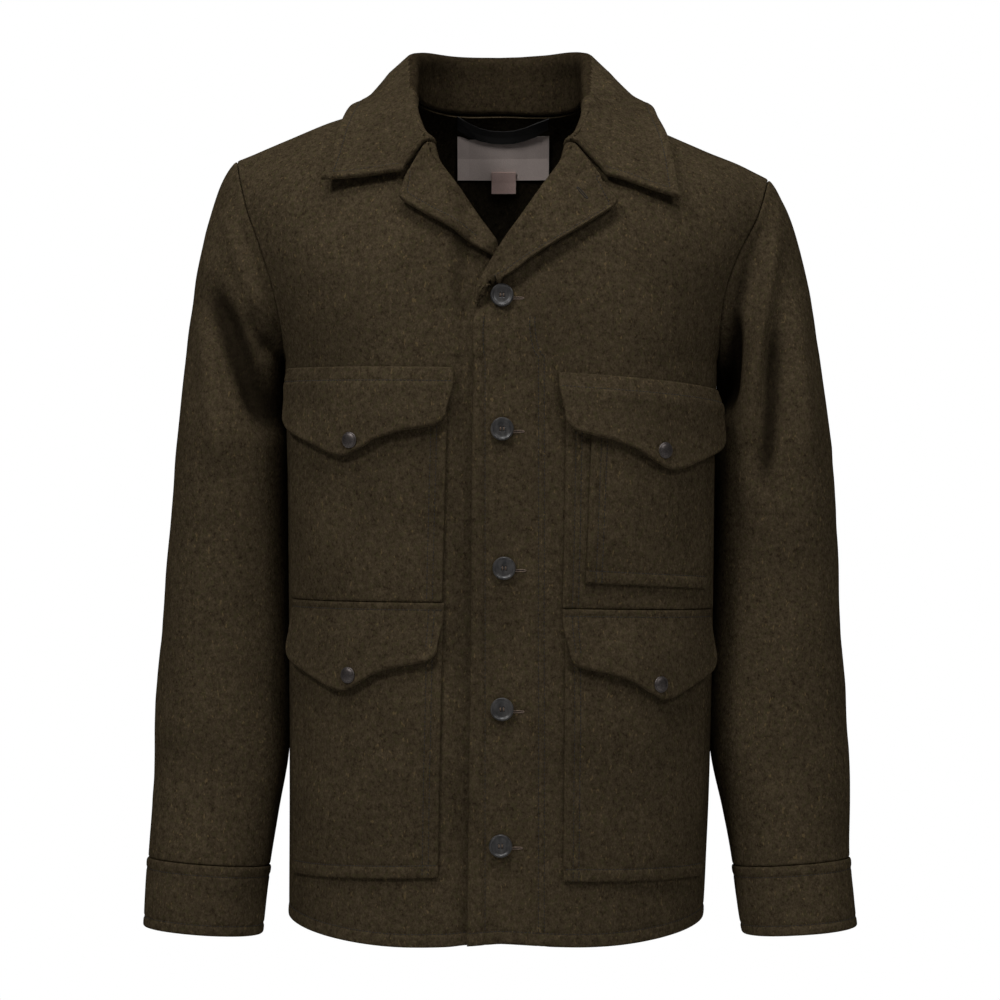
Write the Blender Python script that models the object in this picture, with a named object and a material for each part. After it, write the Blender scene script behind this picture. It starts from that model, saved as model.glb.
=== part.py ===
"""A men's hip-length wool coat, filled out as if worn, with nobody in it.

Metres, +Z up, the front faces -Y and the wearer's left is +X. The origin lies between the
shoulders at the height of the neck points, where a wearer's shoulders hold the coat up.
Every piece of cloth is a thin closed wall made from a grid of points on its outer face.
"""

from collections import namedtuple

import bmesh
import bpy
import numpy as np
from mathutils.bvhtree import BVHTree

# Driving sizes
CLOTH = 0.0026            # one layer of heavy wool
DOUBLE = 0.0044           # two layers sewn together: placket edge, cuffs, collar, lapels
SEAM = 0.0003             # the gap left between two pieces that are sewn together
SLEEVE_SEAM = 0.0008      # and round the armhole, where the cloth turns sharply
UNDERARM_Z = -0.245
NECK_HALF = 0.0775        # half the neck's width at the shoulder seam
ROUND_FRONT = 2.4         # exponent of the superellipse that the body's front follows
ROUND_BACK = 2.5
SLEEVE_ROUND = 2.15
FAN_END_Z = -0.320        # below this the sleeve's rings lie level
CUFF_SEAM_Z = -0.6875
CUFF_END_Z = -0.7480
UPPER_ROWS = 12           # rows between the underarm and the shoulder seam
FAN_ROWS = 7

RIGHT, LEFT = -1, 1       # the wearer's sides

BodyRow = namedtuple("BodyRow", "z half_right half_left front back")
BODY = [
    BodyRow(-0.739, 0.1890, 0.1815, 0.146, 0.130),
    BodyRow(-0.640, 0.1885, 0.1865, 0.143, 0.123),
    BodyRow(-0.480, 0.1890, 0.1905, 0.139, 0.118),
    BodyRow(-0.340, 0.1905, 0.1925, 0.141, 0.127),
    BodyRow(-0.245, 0.1925, 0.1945, 0.141, 0.130),
]

# The armhole, from the underarm (0) up to the shoulder tip (1), as half the coat's width there.
Armhole = namedtuple("Armhole", "share right left")
ARMHOLE = [
    Armhole(0.00, 0.1925, 0.1945),
    Armhole(0.15, 0.1930, 0.1945),
    Armhole(0.30, 0.1975, 0.1975),
    Armhole(0.50, 0.2090, 0.2085),
    Armhole(0.75, 0.2255, 0.2275),
    Armhole(1.00, 0.2360, 0.2410),
]
ARMHOLE_REACH_FRONT = 0.50    # how far round the body's depth the armhole seam comes
ARMHOLE_REACH_BACK = 0.50
ARMHOLE_CURVE_SHARE = 0.50    # the underarm curve ends at this share of the armhole's height

# Half the neck opening's width from the break of the lapels up to the shoulder seam.
Opening = namedtuple("Opening", "z half")
OPENING = [
    Opening(-0.2600, -0.0228),
    Opening(-0.2066, -0.0208),
    Opening(-0.1540, 0.0055),
    Opening(-0.1080, 0.0370),
    Opening(-0.0640, 0.0655),
    Opening(-0.0350, 0.0745),
    Opening(0.0200, 0.0780),
]

SleeveRow = namedtuple("SleeveRow", "z outer_right outer_left inner_right inner_left centre_y half_depth")
SLEEVE = [
    SleeveRow(-0.3200, 0.2900, 0.2965, 0.1928, 0.1948, 0.004, 0.0760),
    SleeveRow(-0.4400, 0.3015, 0.3045, 0.1916, 0.1932, 0.002, 0.0700),
    SleeveRow(-0.5220, 0.3064, 0.3084, 0.1908, 0.1916, -0.004, 0.0655),
    SleeveRow(-0.5900, 0.3080, 0.3098, 0.1905, 0.1900, -0.012, 0.0615),
    SleeveRow(-0.6400, 0.3092, 0.3098, 0.1975, 0.1990, -0.018, 0.0585),
    SleeveRow(-0.6875, 0.3108, 0.3100, 0.2048, 0.2078, -0.024, 0.0560),
    SleeveRow(-0.7480, 0.3148, 0.3150, 0.2125, 0.2160, -0.028, 0.0545),
]
CUFF_TILT = 0.075             # the outer side of a cuff rides higher than the inner side
CUFF_PITCH = 0.070            # and its front rides higher than its back

# Large folds in the front and back of the sleeves and body, as lines in the view from the front.
# height is out of the cloth for a ridge and negative for a trough; reach is the half width.
Fold = namedtuple("Fold", "piece x0 z0 x1 z1 height reach")
FOLDS = [
    Fold("sleeve_right", 0.234, -0.098, 0.196, -0.200, -0.0060, 0.0085),
    Fold("sleeve_right", 0.249, -0.105, 0.204, -0.222, 0.0050, 0.0110),
    Fold("sleeve_right", 0.272, -0.165, 0.203, -0.300, -0.0085, 0.0150),
    Fold("sleeve_right", 0.274, -0.205, 0.246, -0.345, 0.0050, 0.0095),
    Fold("sleeve_left", 0.231, -0.098, 0.197, -0.205, -0.0075, 0.0100),
    Fold("sleeve_left", 0.243, -0.090, 0.215, -0.350, 0.0060, 0.0100),
    Fold("sleeve_left", 0.250, -0.180, 0.226, -0.400, -0.0060, 0.0130),
    Fold("sleeve_left", 0.264, -0.150, 0.276, -0.370, 0.0045, 0.0105),
    Fold("sleeve_right_back", 0.250, -0.100, 0.205, -0.240, -0.0060, 0.0120),
    Fold("sleeve_right_back", 0.275, -0.190, 0.215, -0.310, -0.0060, 0.0140),
    Fold("sleeve_left_back", 0.252, -0.095, 0.208, -0.235, -0.0055, 0.0120),
    Fold("sleeve_left_back", 0.277, -0.200, 0.220, -0.325, -0.0065, 0.0140),
]

# Columns of the fronts and the back, as lengths of cloth measured round from the centre line.
FRONT_COLUMNS = [0.012, 0.026, 0.038, 0.050, 0.064, 0.078, 0.092, 0.106, 0.120,
                 0.134, 0.148, 0.162, 0.176, 0.190, 0.204, 0.222, 0.242]
BACK_COLUMNS = [0.028, 0.056, 0.084, 0.110, 0.134, 0.156, 0.178, 0.200, 0.222]
LOWER_ROWS = [-0.739, -0.716, -0.664, -0.612, -0.560, -0.508, -0.456,
              -0.404, -0.352, -0.300, -0.245]

Placket = namedtuple("Placket", "z edge")
PLACKET = [Placket(-0.739, -0.0278), Placket(-0.420, -0.0245), Placket(-0.300, -0.0236),
           Placket(-0.2066, -0.0212)]        # the over front's edge, past the centre line
UNDER_EDGE = 0.0300           # the under front's edge, beneath the over front
UNDER_DROP = 0.0054           # how far the under front lies in beneath it
UNDER_LAPEL_DROP = 0.0060     # and how much further where its lapel lies on it
UNDER_STEP = (-0.0450, -0.0270)

# Shoulder slope, as height against half width, on each side.
SLOPE = {RIGHT: 0.380, LEFT: 0.440}
RIDGE_TOP = 0.0285
RIDGE_ROUND = 0.040
RIDGE_Y = -0.006

WOOL = (0.050, 0.043, 0.027)


def smoothstep(x, low, high):
    """0 below low, 1 above high, with a smooth rise between them."""
    t = np.clip((np.asarray(x, float) - low) / (high - low), 0.0, 1.0)
    return t * t * (3.0 - 2.0 * t)


def read(table, key, column, at):
    """A named column of a table, read at any value of its key column along a smooth curve."""
    keys = np.array([getattr(row, key) for row in table])
    values = np.array([getattr(row, column) for row in table])
    slopes = np.gradient(values, keys)
    at = np.clip(np.asarray(at, float), keys[0], keys[-1])
    i = np.clip(np.searchsorted(keys, at, side="right") - 1, 0, len(keys) - 2)
    step = keys[i + 1] - keys[i]
    t = (at - keys[i]) / step
    return ((2 * t**3 - 3 * t**2 + 1) * values[i] + (t**3 - 2 * t**2 + t) * step * slopes[i]
            + (3 * t**2 - 2 * t**3) * values[i + 1] + (t**3 - t**2) * step * slopes[i + 1])


def unit(vectors):
    """The vectors, each made one long."""
    length = np.linalg.norm(vectors, axis=-1, keepdims=True)
    return vectors / np.maximum(length, 1e-12)


def side_name(side):
    return "left" if side == LEFT else "right"


def ridge_z(x):
    """Height of the shoulder line: a rounded roof that falls away to each side."""
    slope = (SLOPE[LEFT] + SLOPE[RIGHT]) / 2 + (SLOPE[LEFT] - SLOPE[RIGHT]) / 2 * np.tanh(x / 0.05)
    return RIDGE_TOP - slope * np.sqrt(x * x + RIDGE_ROUND**2)


def ridge_normal(x):
    """Upward normal of the shoulder line at a distance from the centre."""
    slope = (ridge_z(x + 0.001) - ridge_z(x - 0.001)) / 0.002
    return unit(np.stack([-slope, 0 * slope, 1 + 0 * slope], axis=-1))


def half_width(side, z):
    return read(BODY, "z", "half_" + side_name(side), z)


def armhole_x(side, share):
    return read(ARMHOLE, "share", side_name(side), share)


def body_rows():
    """Row numbers from hem to shoulder: heights up to the underarm, then 1 + the share above it.

    The shares crowd at both ends, where the armhole and the shoulder turn over."""
    shares = 0.5 - 0.5 * np.cos(np.linspace(0, np.pi, UPPER_ROWS + 1))[1:]
    return np.concatenate([LOWER_ROWS, 1 + shares])


def body_line(face, side, row, xs):
    """Points of one row of the body's outer face, at these distances from the centre.

    face is -1 for the front and 1 for the back. Each row is a superellipse; above the underarm
    its depth shrinks to nothing at the shoulder line along an ellipse."""
    share = max(0.0, row - 1) if row > 0 else 0.0
    level = row if row <= 0 else UNDERARM_Z
    depth = read(BODY, "z", "front" if face < 0 else "back", level)
    power = ROUND_FRONT if face < 0 else ROUND_BACK
    fall = 1.9 if face < 0 else 3.0
    depth = depth * (1 - share**fall) ** (1 / fall)
    if row > 0:
        reach = ARMHOLE_REACH_FRONT if face < 0 else ARMHOLE_REACH_BACK
        along = min(share / ARMHOLE_CURVE_SHARE, 1.0)
        reach = reach * np.sqrt(1 - (1 - along) ** 2)
        half = armhole_x(side, share) / (1 - reach**power) ** (1 / power)
    else:
        half = half_width(side, level)
    across = np.abs(xs) / half
    y = RIDGE_Y * share + face * depth * (1 - np.minimum(across, 1.0) ** power) ** (1 / power)
    z = np.full_like(xs, level) + share * (ridge_z(xs) - UNDERARM_Z)
    return np.stack([xs, y, z], axis=-1)


def row_end(side, row):
    """Distance from the centre at which a row ends: the side seam or the armhole seam."""
    return side * (armhole_x(side, row - 1) if row > 0 else half_width(side, row))


def dense_row(face, side, row, start):
    """A row as a fine line from start to its end, packed closer where the body turns away."""
    t = np.sin(np.linspace(0, np.pi / 2, 400))
    return body_line(face, side, row, start + (row_end(side, row) - start) * t)


def lengths(line):
    """Length of cloth from the first point of a line to each of its points."""
    steps = np.linalg.norm(np.diff(line, axis=0), axis=1)
    return np.concatenate([[0.0], np.cumsum(steps)])


def points_at(line, distances):
    """Points of a line at these lengths along it."""
    along = lengths(line)
    return np.stack([np.interp(distances, along, line[:, k]) for k in range(3)], axis=-1)


def opening_x(side, row):
    """Where the neck opening cuts a row above the underarm, found by a few repeats."""
    x = 0.05
    share = row - 1
    for _ in range(12):
        z = UNDERARM_Z + share * (ridge_z(side * abs(x)) - UNDERARM_Z)
        x = 0.5 * x + 0.5 * float(read(OPENING, "z", "half", z))
    return side * x


def body_grid(face, side, rows, columns, start_of):
    """Grid of points on a body panel, from its inner edge to the side seam and armhole.

    Up to the underarm the inner columns keep the same length from the centre line on every row.
    Above it each row shares out its own length in the underarm row's proportions."""
    grid = []
    shares = None
    for row in rows:
        start = start_of(row)
        line = dense_row(face, side, row, start)
        total = lengths(line)[-1]
        if row <= 0:
            before = -side * start
            distances = np.concatenate([[0.0], np.array(columns) + before, [total]])
            shares = distances / total
        else:
            distances = shares * total
        grid.append(points_at(line, distances))
    return np.array(grid)


def directions(grid, closed=False):
    """Direction of a grid's rows at each point: the mean of the ways in and out, each one long."""
    if closed:
        grid = np.concatenate([grid[:, -1:], grid, grid[:, :1]], axis=1)
    steps = unit(np.diff(grid, axis=1))
    if closed:
        return steps[:, 1:] + steps[:, :-1]
    return np.concatenate([steps[:, :1], steps[:, 1:] + steps[:, :-1], steps[:, -1:]], axis=1)


def normals_of(grid, closed=False):
    """Unit normals of a grid, from the cross product of its two directions."""
    down = directions(grid.transpose(1, 0, 2)).transpose(1, 0, 2)
    return unit(np.cross(directions(grid, closed), down))


def front_start(side):
    """The inner edge of a front: straight up to the break, then round the neck opening."""
    def start(row):
        if row <= 0:
            return float(read(PLACKET, "z", "edge", row)) if side == LEFT else UNDER_EDGE
        x = opening_x(side, row)
        return x if side == LEFT else min(x, UNDER_EDGE)
    return start


def fold_push(piece, points, front_share):
    """How far the folds of a piece push each of its points out along the normal."""
    push = np.zeros(points.shape[:-1])
    for fold in FOLDS:
        if fold.piece not in (piece, piece + "_back"):
            continue
        side = LEFT if "left" in fold.piece else RIGHT
        a = np.array([side * fold.x0, fold.z0])
        b = np.array([side * fold.x1, fold.z1])
        flat = points[..., [0, 2]] - a
        along = (flat @ (b - a)) / ((b - a) @ (b - a))
        off = np.linalg.norm(flat - np.clip(along, 0, 1)[..., None] * (b - a), axis=-1)
        ends = smoothstep(along, -0.15, 0.25) * (1 - smoothstep(along, 0.75, 1.15))
        facing = front_share if fold.piece == piece else 1 - front_share
        push += fold.height * np.exp(-((off / fold.reach) ** 2)) * ends * smoothstep(facing, 0.35, 0.7)
    return push


def front_grid(side):
    """Outer face of a front. The under front steps in beneath the over front."""
    grid = body_grid(-1, side, body_rows(), FRONT_COLUMNS, front_start(side))
    if side == RIGHT:
        grid[..., 1] += under_drop(grid[..., 0], grid[..., 2])
    return grid


def under_drop(x, z):
    """How far the under front lies in from the body's outer face, at places seen from the front."""
    drop = UNDER_DROP + UNDER_LAPEL_DROP * smoothstep(z, -0.240, -0.200)
    return drop * smoothstep(x, *UNDER_STEP)


def back_grid():
    """Outer face of the back, from the wearer's right side seam to the left one."""
    halves = []
    for side in (RIGHT, LEFT):
        halves.append(body_grid(1, side, body_rows(), BACK_COLUMNS, back_start(side)))
    return np.concatenate([halves[0][:, ::-1], halves[1][:, 1:]], axis=1)


def back_start(side):
    """The back's rows start on the centre line, as the whole back is one piece."""
    def start(row):
        return 0.0 * side
    return start


BACK_NECK_SHARE = 0.920       # the centre of the back neck, as a share of the armhole's height


def cut_back_neck(grid):
    """Bends the top rows of the back down round the neck, to a neck seam and two shoulder seams."""
    rows = body_rows()
    top = rows[-1] - 1
    shaped = grid.copy()
    count = len(rows)
    first = len(LOWER_ROWS) - 1
    for i in range(first, count):
        share = rows[i] - 1 if rows[i] > 0 else 0.0
        for j in range(grid.shape[1]):
            x = grid[i, j, 0]
            limit = neck_share_at(x)
            squeezed = share * (1 - (1 - limit / top) * smoothstep(share, 0.0, 1.0))
            side = LEFT if x >= 0 else RIGHT
            shaped[i, j] = body_line(1, side, 1 + squeezed, np.array([x]))[0]
    return shaped


def neck_share_at(x):
    """Share of the height at which the back ends: 1 outside the neck, lower across it."""
    across = min(abs(x) / NECK_HALF, 1.0)
    return 1 - (1 - BACK_NECK_SHARE) * (1 - across**2.2)


def sleeve_ring(side, z, angles):
    """One level ring of a sleeve: a superellipse from its inner side to its outer side."""
    outer = read(SLEEVE[::-1], "z", "outer_" + side_name(side), z)
    inner = read(SLEEVE[::-1], "z", "inner_" + side_name(side), z)
    centre_y = read(SLEEVE[::-1], "z", "centre_y", z)
    depth = read(SLEEVE[::-1], "z", "half_depth", z)
    c, s = np.cos(angles), np.sin(angles)
    across = np.sign(c) * np.abs(c) ** (2 / SLEEVE_ROUND)
    deep = np.sign(s) * np.abs(s) ** (2 / SLEEVE_ROUND)
    turn = smoothstep(-z, 0.50, 0.68)
    half = (outer - inner) / 2
    x = (outer + inner) / 2 + half * across
    rise = turn * (CUFF_TILT * half * across + CUFF_PITCH * depth * deep)
    return np.stack([side * x, centre_y - depth * deep, z + rise], axis=-1)


def armhole_loop(grids, side):
    """Armhole seam points and the cloth's direction there, from the tip forward and round."""
    first = len(LOWER_ROWS) - 1
    front, back = grids["front_" + side_name(side)], grids["back"]
    if side == RIGHT:
        back = back[:, ::-1]
    front_edge, front_in = front[first:, -1], front[first:, -2]
    back_edge, back_in = back[first:, -1], back[first:, -2]
    edge = np.concatenate([front_edge[::-1], back_edge[1:-1]])
    way = np.concatenate([unit(front_edge - front_in)[::-1], unit(back_edge - back_in)[1:-1]])
    way[0] = unit(way[0] + unit(back_edge[-1] - back_in[-1]))
    way[UPPER_ROWS] = unit(way[UPPER_ROWS - 1] + way[UPPER_ROWS + 1])
    return edge, way


def sleeve_grid(grids, side):
    """Outer face of a sleeve: it fans out from the armhole seam, then runs down in level rings.

    Each column leaves the armhole along the cloth and bends into the first level ring."""
    edge, way = armhole_loop(grids, side)
    count = len(edge)
    angles = 2 * np.pi * np.arange(count) / count
    ring = sleeve_ring(side, FAN_END_Z, angles)
    outward = (1 + np.cos(angles)) / 2
    leave = unit(0.75 * way + np.array([side * 0.30, -0.05, -0.62]))
    start = edge + SLEEVE_SEAM * way
    first_pull = leave * (0.030 + 0.095 * outward)[:, None]
    last_way = np.stack([side * 0.095 * outward, 0 * outward, 0 * outward - 1.0], axis=-1)
    last_pull = last_way * (0.050 + 0.200 * outward)[:, None]
    rows = []
    for t in np.linspace(0, 1, FAN_ROWS + 1):
        rows.append((2 * t**3 - 3 * t**2 + 1) * start + (t**3 - 2 * t**2 + t) * first_pull
                    + (3 * t**2 - 2 * t**3) * ring + (t**3 - t**2) * last_pull)
    for z in np.linspace(FAN_END_Z, CUFF_SEAM_Z, 10)[1:]:
        rows.append(sleeve_ring(side, z, angles))
    grid = np.array(rows)
    normals = sleeve_normals(grid, side)
    front_share = np.broadcast_to((1 + np.sin(angles)) / 2, grid.shape[:2])
    push = fold_push("sleeve_" + side_name(side), grid, front_share)
    push *= smoothstep(np.arange(len(grid)), 0.0, 2.5)[:, None]
    return grid + normals * push[..., None]


def sleeve_normals(grid, side):
    """Normals of a sleeve's grid that point out of the sleeve."""
    return side * normals_of(grid, closed=True)


def solid_from(name, outer, inner, colour, closed=False, roughness=0.95):
    """A closed wall between two grids of the same shape, as one object with its own material."""
    rows, columns = outer.shape[:2]
    number = np.arange(rows * columns).reshape(rows, columns)
    if closed:
        number = np.concatenate([number, number[:, :1]], axis=1)
    far = number + rows * columns
    a, b, c, d = number[:-1, :-1], number[:-1, 1:], number[1:, 1:], number[1:, :-1]
    faces = [np.stack([a, b, c, d], -1).reshape(-1, 4)]
    faces.append(np.stack([a, d, c, b], -1).reshape(-1, 4) + rows * columns)
    rims = [(number[0], far[0]), (far[-1], number[-1])]
    if not closed:
        rims += [(far[:, 0], number[:, 0]), (number[:, -1], far[:, -1])]
    for near_line, far_line in rims:
        faces.append(np.stack([near_line[1:], near_line[:-1], far_line[:-1], far_line[1:]], -1))
    points = np.concatenate([outer.reshape(-1, 3), inner.reshape(-1, 3)])
    return object_from(name, points, np.concatenate(faces), colour, roughness)


def object_from(name, points, faces, colour, roughness=0.95, metallic=0.0):
    """An object from points and faces, turned right side out and given its own material."""
    mesh = bpy.data.meshes.new(name)
    mesh.from_pydata([tuple(map(float, p)) for p in points], [], [tuple(map(int, f)) for f in faces])
    form = bmesh.new()
    form.from_mesh(mesh)
    bmesh.ops.triangulate(form, faces=form.faces[:], quad_method="FIXED")
    if form.calc_volume(signed=True) < 0:
        bmesh.ops.reverse_faces(form, faces=form.faces[:])
    form.to_mesh(mesh)
    form.free()
    mesh.shade_smooth()
    material = bpy.data.materials.new(name)
    material.use_nodes = True
    shader = material.node_tree.nodes["Principled BSDF"]
    shader.inputs["Base Color"].default_value = (*colour, 1.0)
    shader.inputs["Roughness"].default_value = roughness
    shader.inputs["Metallic"].default_value = metallic
    mesh.materials.append(material)
    made = bpy.data.objects.new(name, mesh)
    bpy.context.scene.collection.objects.link(made)
    return made


def trim(grid, normals, gap):
    """Moves a panel's top row and its last column in along the cloth by half a seam's gap."""
    moved = grid.copy()
    moved[-1] += gap / 2 * unit(grid[-2] - grid[-1])
    moved[:, -1] += gap / 2 * unit(grid[:, -2] - grid[:, -1])
    return moved


def share_seam_normals(grids, normals):
    """Gives pieces that meet the same normals along their seam, so both walls end on one face."""
    first = len(LOWER_ROWS) - 1
    for name in ("front_right", "front_left", "back"):
        x = grids[name][-1, :, 0]
        shoulder = np.abs(x) > NECK_HALF - 0.001
        normals[name][-1, shoulder] = ridge_normal(x[shoulder])
    for side in (RIGHT, LEFT):
        front, sleeve = normals["front_" + side_name(side)], normals["sleeve_" + side_name(side)]
        back = normals["back"] if side == LEFT else normals["back"][:, ::-1]
        flank = unit(front[:first, -1] + back[:first, -1])
        front[:first, -1] = back[:first, -1] = flank
        round_front = unit(front[first:, -1] + sleeve[:1, :UPPER_ROWS + 1][0][::-1])
        round_back = unit(back[first:, -1] + np.concatenate([sleeve[0, UPPER_ROWS:], sleeve[0, :1]]))
        for end, index in ((-1, 0), (0, UPPER_ROWS)):
            row = first if end == 0 else -1
            meet = unit(unit(front[row, -1] + back[row, -1]) + sleeve[0, index])
            round_front[end] = round_back[end] = meet
        front[first:, -1], back[first:, -1] = round_front, round_back
        sleeve[0, :UPPER_ROWS + 1] = round_front[::-1]
        sleeve[0, UPPER_ROWS:] = round_back[:-1]


def shell_normals(name, grid):
    """Normals of a shell piece that point out of the coat."""
    if name.startswith("sleeve"):
        return sleeve_normals(grid, LEFT if name.endswith("left") else RIGHT)
    if name == "back":
        return -normals_of(grid)
    return normals_of(grid) * (1 if name.endswith("left") else -1)


def build_shell():
    """Grids and normals of the fronts, back and sleeves, and their solids."""
    grids = {"front_" + side_name(s): front_grid(s) for s in (RIGHT, LEFT)}
    grids["back"] = cut_back_neck(back_grid())
    for side in (RIGHT, LEFT):
        grids["sleeve_" + side_name(side)] = sleeve_grid(grids, side)
    normals = {name: shell_normals(name, grid) for name, grid in grids.items()}
    share_seam_normals(grids, normals)
    for name, grid in grids.items():
        closed = name.startswith("sleeve")
        if not closed:
            grid = trim(grid, normals[name], SEAM)
        if name == "back":
            grid = trim(grid[:, ::-1], normals[name], SEAM)[:, ::-1]
        solid_from(name, grid, grid - CLOTH * normals[name], WOOL, closed)
    return grids, normals


def build_cuffs():
    """Turned cuffs: two layers of cloth, each a ring that carries on from its sleeve."""
    count = 2 * UPPER_ROWS
    angles = 2 * np.pi * np.arange(count) / count
    for side in (RIGHT, LEFT):
        rings = [sleeve_ring(side, z, angles) for z in np.linspace(CUFF_SEAM_Z - SEAM, CUFF_END_Z, 5)]
        grid = np.array(rings)
        normals = sleeve_normals(grid, side)
        outer = grid + (DOUBLE - CLOTH) / 2 * normals
        solid_from("cuff_" + side_name(side), outer, outer - DOUBLE * normals, WOOL, closed=True)


# Pockets and flaps

Pocket = namedtuple("Pocket", "name side in_top in_bottom out top_in top_out bottom_in bottom_out under")
POCKETS = [
    Pocket("upper_pocket_right", RIGHT, 0.0435, 0.0485, 0.214, -0.2680, -0.2645, -0.4532, -0.4532, 0.0004),
    Pocket("upper_pocket_left", LEFT, 0.0560, 0.0525, 0.222, -0.2720, -0.2830, -0.4583, -0.4623, 0.0004),
    Pocket("compass_pocket", LEFT, 0.0770, 0.0715, 0.196, -0.2920, -0.3000, -0.4370, -0.4440, 0.0034),
    Pocket("lower_pocket_right", RIGHT, 0.0480, 0.0520, 0.212, -0.4685, -0.4685, -0.6850, -0.6930, 0.0004),
    Pocket("lower_pocket_left", LEFT, 0.0545, 0.0530, 0.204, -0.4740, -0.4780, -0.6885, -0.6945, 0.0004),
]

# over is how far the flap's underside stands off the front, to clear the pocket beneath it
Flap = namedtuple("Flap", "name side inner outer top_in top_out over")
FLAPS = [
    Flap("upper_flap_right", RIGHT, 0.0400, 0.2165, -0.2550, -0.2515, 0.0036),
    Flap("upper_flap_left", LEFT, 0.0490, 0.2270, -0.2590, -0.2700, 0.0066),
    Flap("lower_flap_right", RIGHT, 0.0470, 0.2130, -0.4537, -0.4537, 0.0036),
    Flap("lower_flap_left", LEFT, 0.0525, 0.2180, -0.4588, -0.4628, 0.0036),
]
# The flap's length down, at shares of its width: both ends are cut away and the middle is a point.
FlapCut = namedtuple("FlapCut", "across down")
FLAP_CUT = [
    FlapCut(0.00, 0.0410), FlapCut(0.03, 0.0465), FlapCut(0.08, 0.0500), FlapCut(0.24, 0.0545),
    FlapCut(0.36, 0.0610), FlapCut(0.45, 0.0705), FlapCut(0.53, 0.0765), FlapCut(0.61, 0.0745),
    FlapCut(0.70, 0.0680), FlapCut(0.82, 0.0605), FlapCut(0.94, 0.0535), FlapCut(0.97, 0.0500),
    FlapCut(1.00, 0.0440),
]
FLAP_ROWS = [0.0, 0.005, 0.010, 0.016]
FLAP_END_ROUND = 0.005        # how far a flap's ends are cut in at its lower corners
FLAP_THICK = 0.0040
SNAP_DOWN = 0.0615


def lay(shell, side, s, z, lift):
    """Points over a front, at distances s round from the centre line, heights z and a lift off it."""
    grid, normals = (part["front_" + side_name(side)] for part in shell)
    row = np.clip(np.interp(z, LOWER_ROWS, np.arange(len(LOWER_ROWS))), 0, len(LOWER_ROWS) - 1.001)
    column = np.interp(s, FRONT_COLUMNS, np.arange(1, len(FRONT_COLUMNS) + 1))
    i, j = row.astype(int), column.astype(int)
    f, g = (row - i)[..., None], (column - j)[..., None]
    found = []
    for source in (grid, normals):
        found.append((1 - f) * ((1 - g) * source[i, j] + g * source[i, j + 1])
                     + f * ((1 - g) * source[i + 1, j] + g * source[i + 1, j + 1]))
    return found[0] + lift[..., None] * unit(found[1])


def columns_between(inner, outer):
    """The front's own columns between two distances, so that what lies on it bends where it does."""
    return [c for c in FRONT_COLUMNS if inner + 0.001 < c < outer - 0.004]


def build_pocket(shell, pocket):
    """A patch of one layer, laid on the front or on the pocket beneath it."""
    own = columns_between(max(pocket.in_top, pocket.in_bottom), pocket.out)
    rows = [z for z in LOWER_ROWS if pocket.bottom_out + 0.012 < z < pocket.top_out - 0.006]
    down = np.concatenate([[0.0], (pocket.top_in - np.array(rows[::-1])) / (pocket.top_in - pocket.bottom_in), [1.0]])
    inner = pocket.in_top + (pocket.in_bottom - pocket.in_top) * down
    s = np.concatenate([inner[:, None], np.tile(own, (len(down), 1)), np.full((len(down), 1), pocket.out)], 1)
    across = (s - s[:, :1]) / (s[:, -1:] - s[:, :1])
    top = pocket.top_in + (pocket.top_out - pocket.top_in) * across
    bottom = pocket.bottom_in + (pocket.bottom_out - pocket.bottom_in) * across
    z = top + (bottom - top) * down[:, None]
    under = np.full_like(z, pocket.under)
    solid_from(pocket.name, lay(shell, pocket.side, s, z, under + CLOTH),
               lay(shell, pocket.side, s, z, under), WOOL)


def build_flap(shell, flap):
    """A flap of two layers, sewn along its top and standing off further down."""
    own = columns_between(flap.inner + 0.007, flap.outer - 0.003)
    middle = (flap.inner + flap.outer) / 2
    own = sorted(own + [middle] if min(abs(np.array(own) - middle)) > 0.003 else own)
    s = np.array([flap.inner, flap.inner + 0.005, *own, flap.outer - 0.005, flap.outer])
    across = (s - s[0]) / (s[-1] - s[0])
    length = np.interp(across, [c.across for c in FLAP_CUT], [c.down for c in FLAP_CUT])
    share = np.linspace(0, 1, 5)[1:, None]
    down = np.concatenate([np.tile(np.array(FLAP_ROWS)[:, None], (1, len(s))),
                           FLAP_ROWS[-1] + share * (length - FLAP_ROWS[-1])])
    cut = FLAP_END_ROUND * (2 * across - 1) ** 7 * smoothstep(down / length, 0.2, 1.0)
    top = flap.top_in + (flap.top_out - flap.top_in) * across
    z = top - down
    rise = smoothstep(down, 0.0, 0.012) + 0.25 * smoothstep(down, 0.03, 0.08)
    under = 0.0004 + (flap.over - 0.0004) * rise
    s = s - cut
    outer = lay(shell, flap.side, s, z, under + FLAP_THICK)
    solid_from(flap.name, outer, lay(shell, flap.side, s, z, under), WOOL)
    index = int(np.argmin(np.abs(s[0] - middle)))
    row = int(np.argmin(np.abs(down[:, index] - SNAP_DOWN)))
    normal = unit(outer[row, index] - lay(shell, flap.side, s, z, under)[row, index])
    centre = lay(shell, flap.side, np.array([middle]), np.array([top[index] - SNAP_DOWN]),
                 np.array([np.interp(SNAP_DOWN, down[:, index], under[:, index]) + FLAP_THICK]))[0]
    build_lathe(flap.name.replace("flap", "snap"), SNAP_SHAPE, centre + 0.0004 * normal, normal,
                SNAP_COLOUR, 0.4, 14)


# Buttons and snaps: half profiles, as radius and height above the cloth.

Profile = namedtuple("Profile", "radius height")
BUTTON_SHAPE = [Profile(0.0086, 0.0), Profile(0.0098, 0.0012), Profile(0.0098, 0.0028),
                Profile(0.0091, 0.0038), Profile(0.0078, 0.0038), Profile(0.0066, 0.0028)]
SNAP_SHAPE = [Profile(0.0064, 0.0), Profile(0.0070, 0.0005), Profile(0.0068, 0.0013),
              Profile(0.0055, 0.0021), Profile(0.0030, 0.0026)]
BUTTON_COLOUR = (0.018, 0.017, 0.016)
SNAP_COLOUR = (0.030, 0.029, 0.028)

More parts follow.
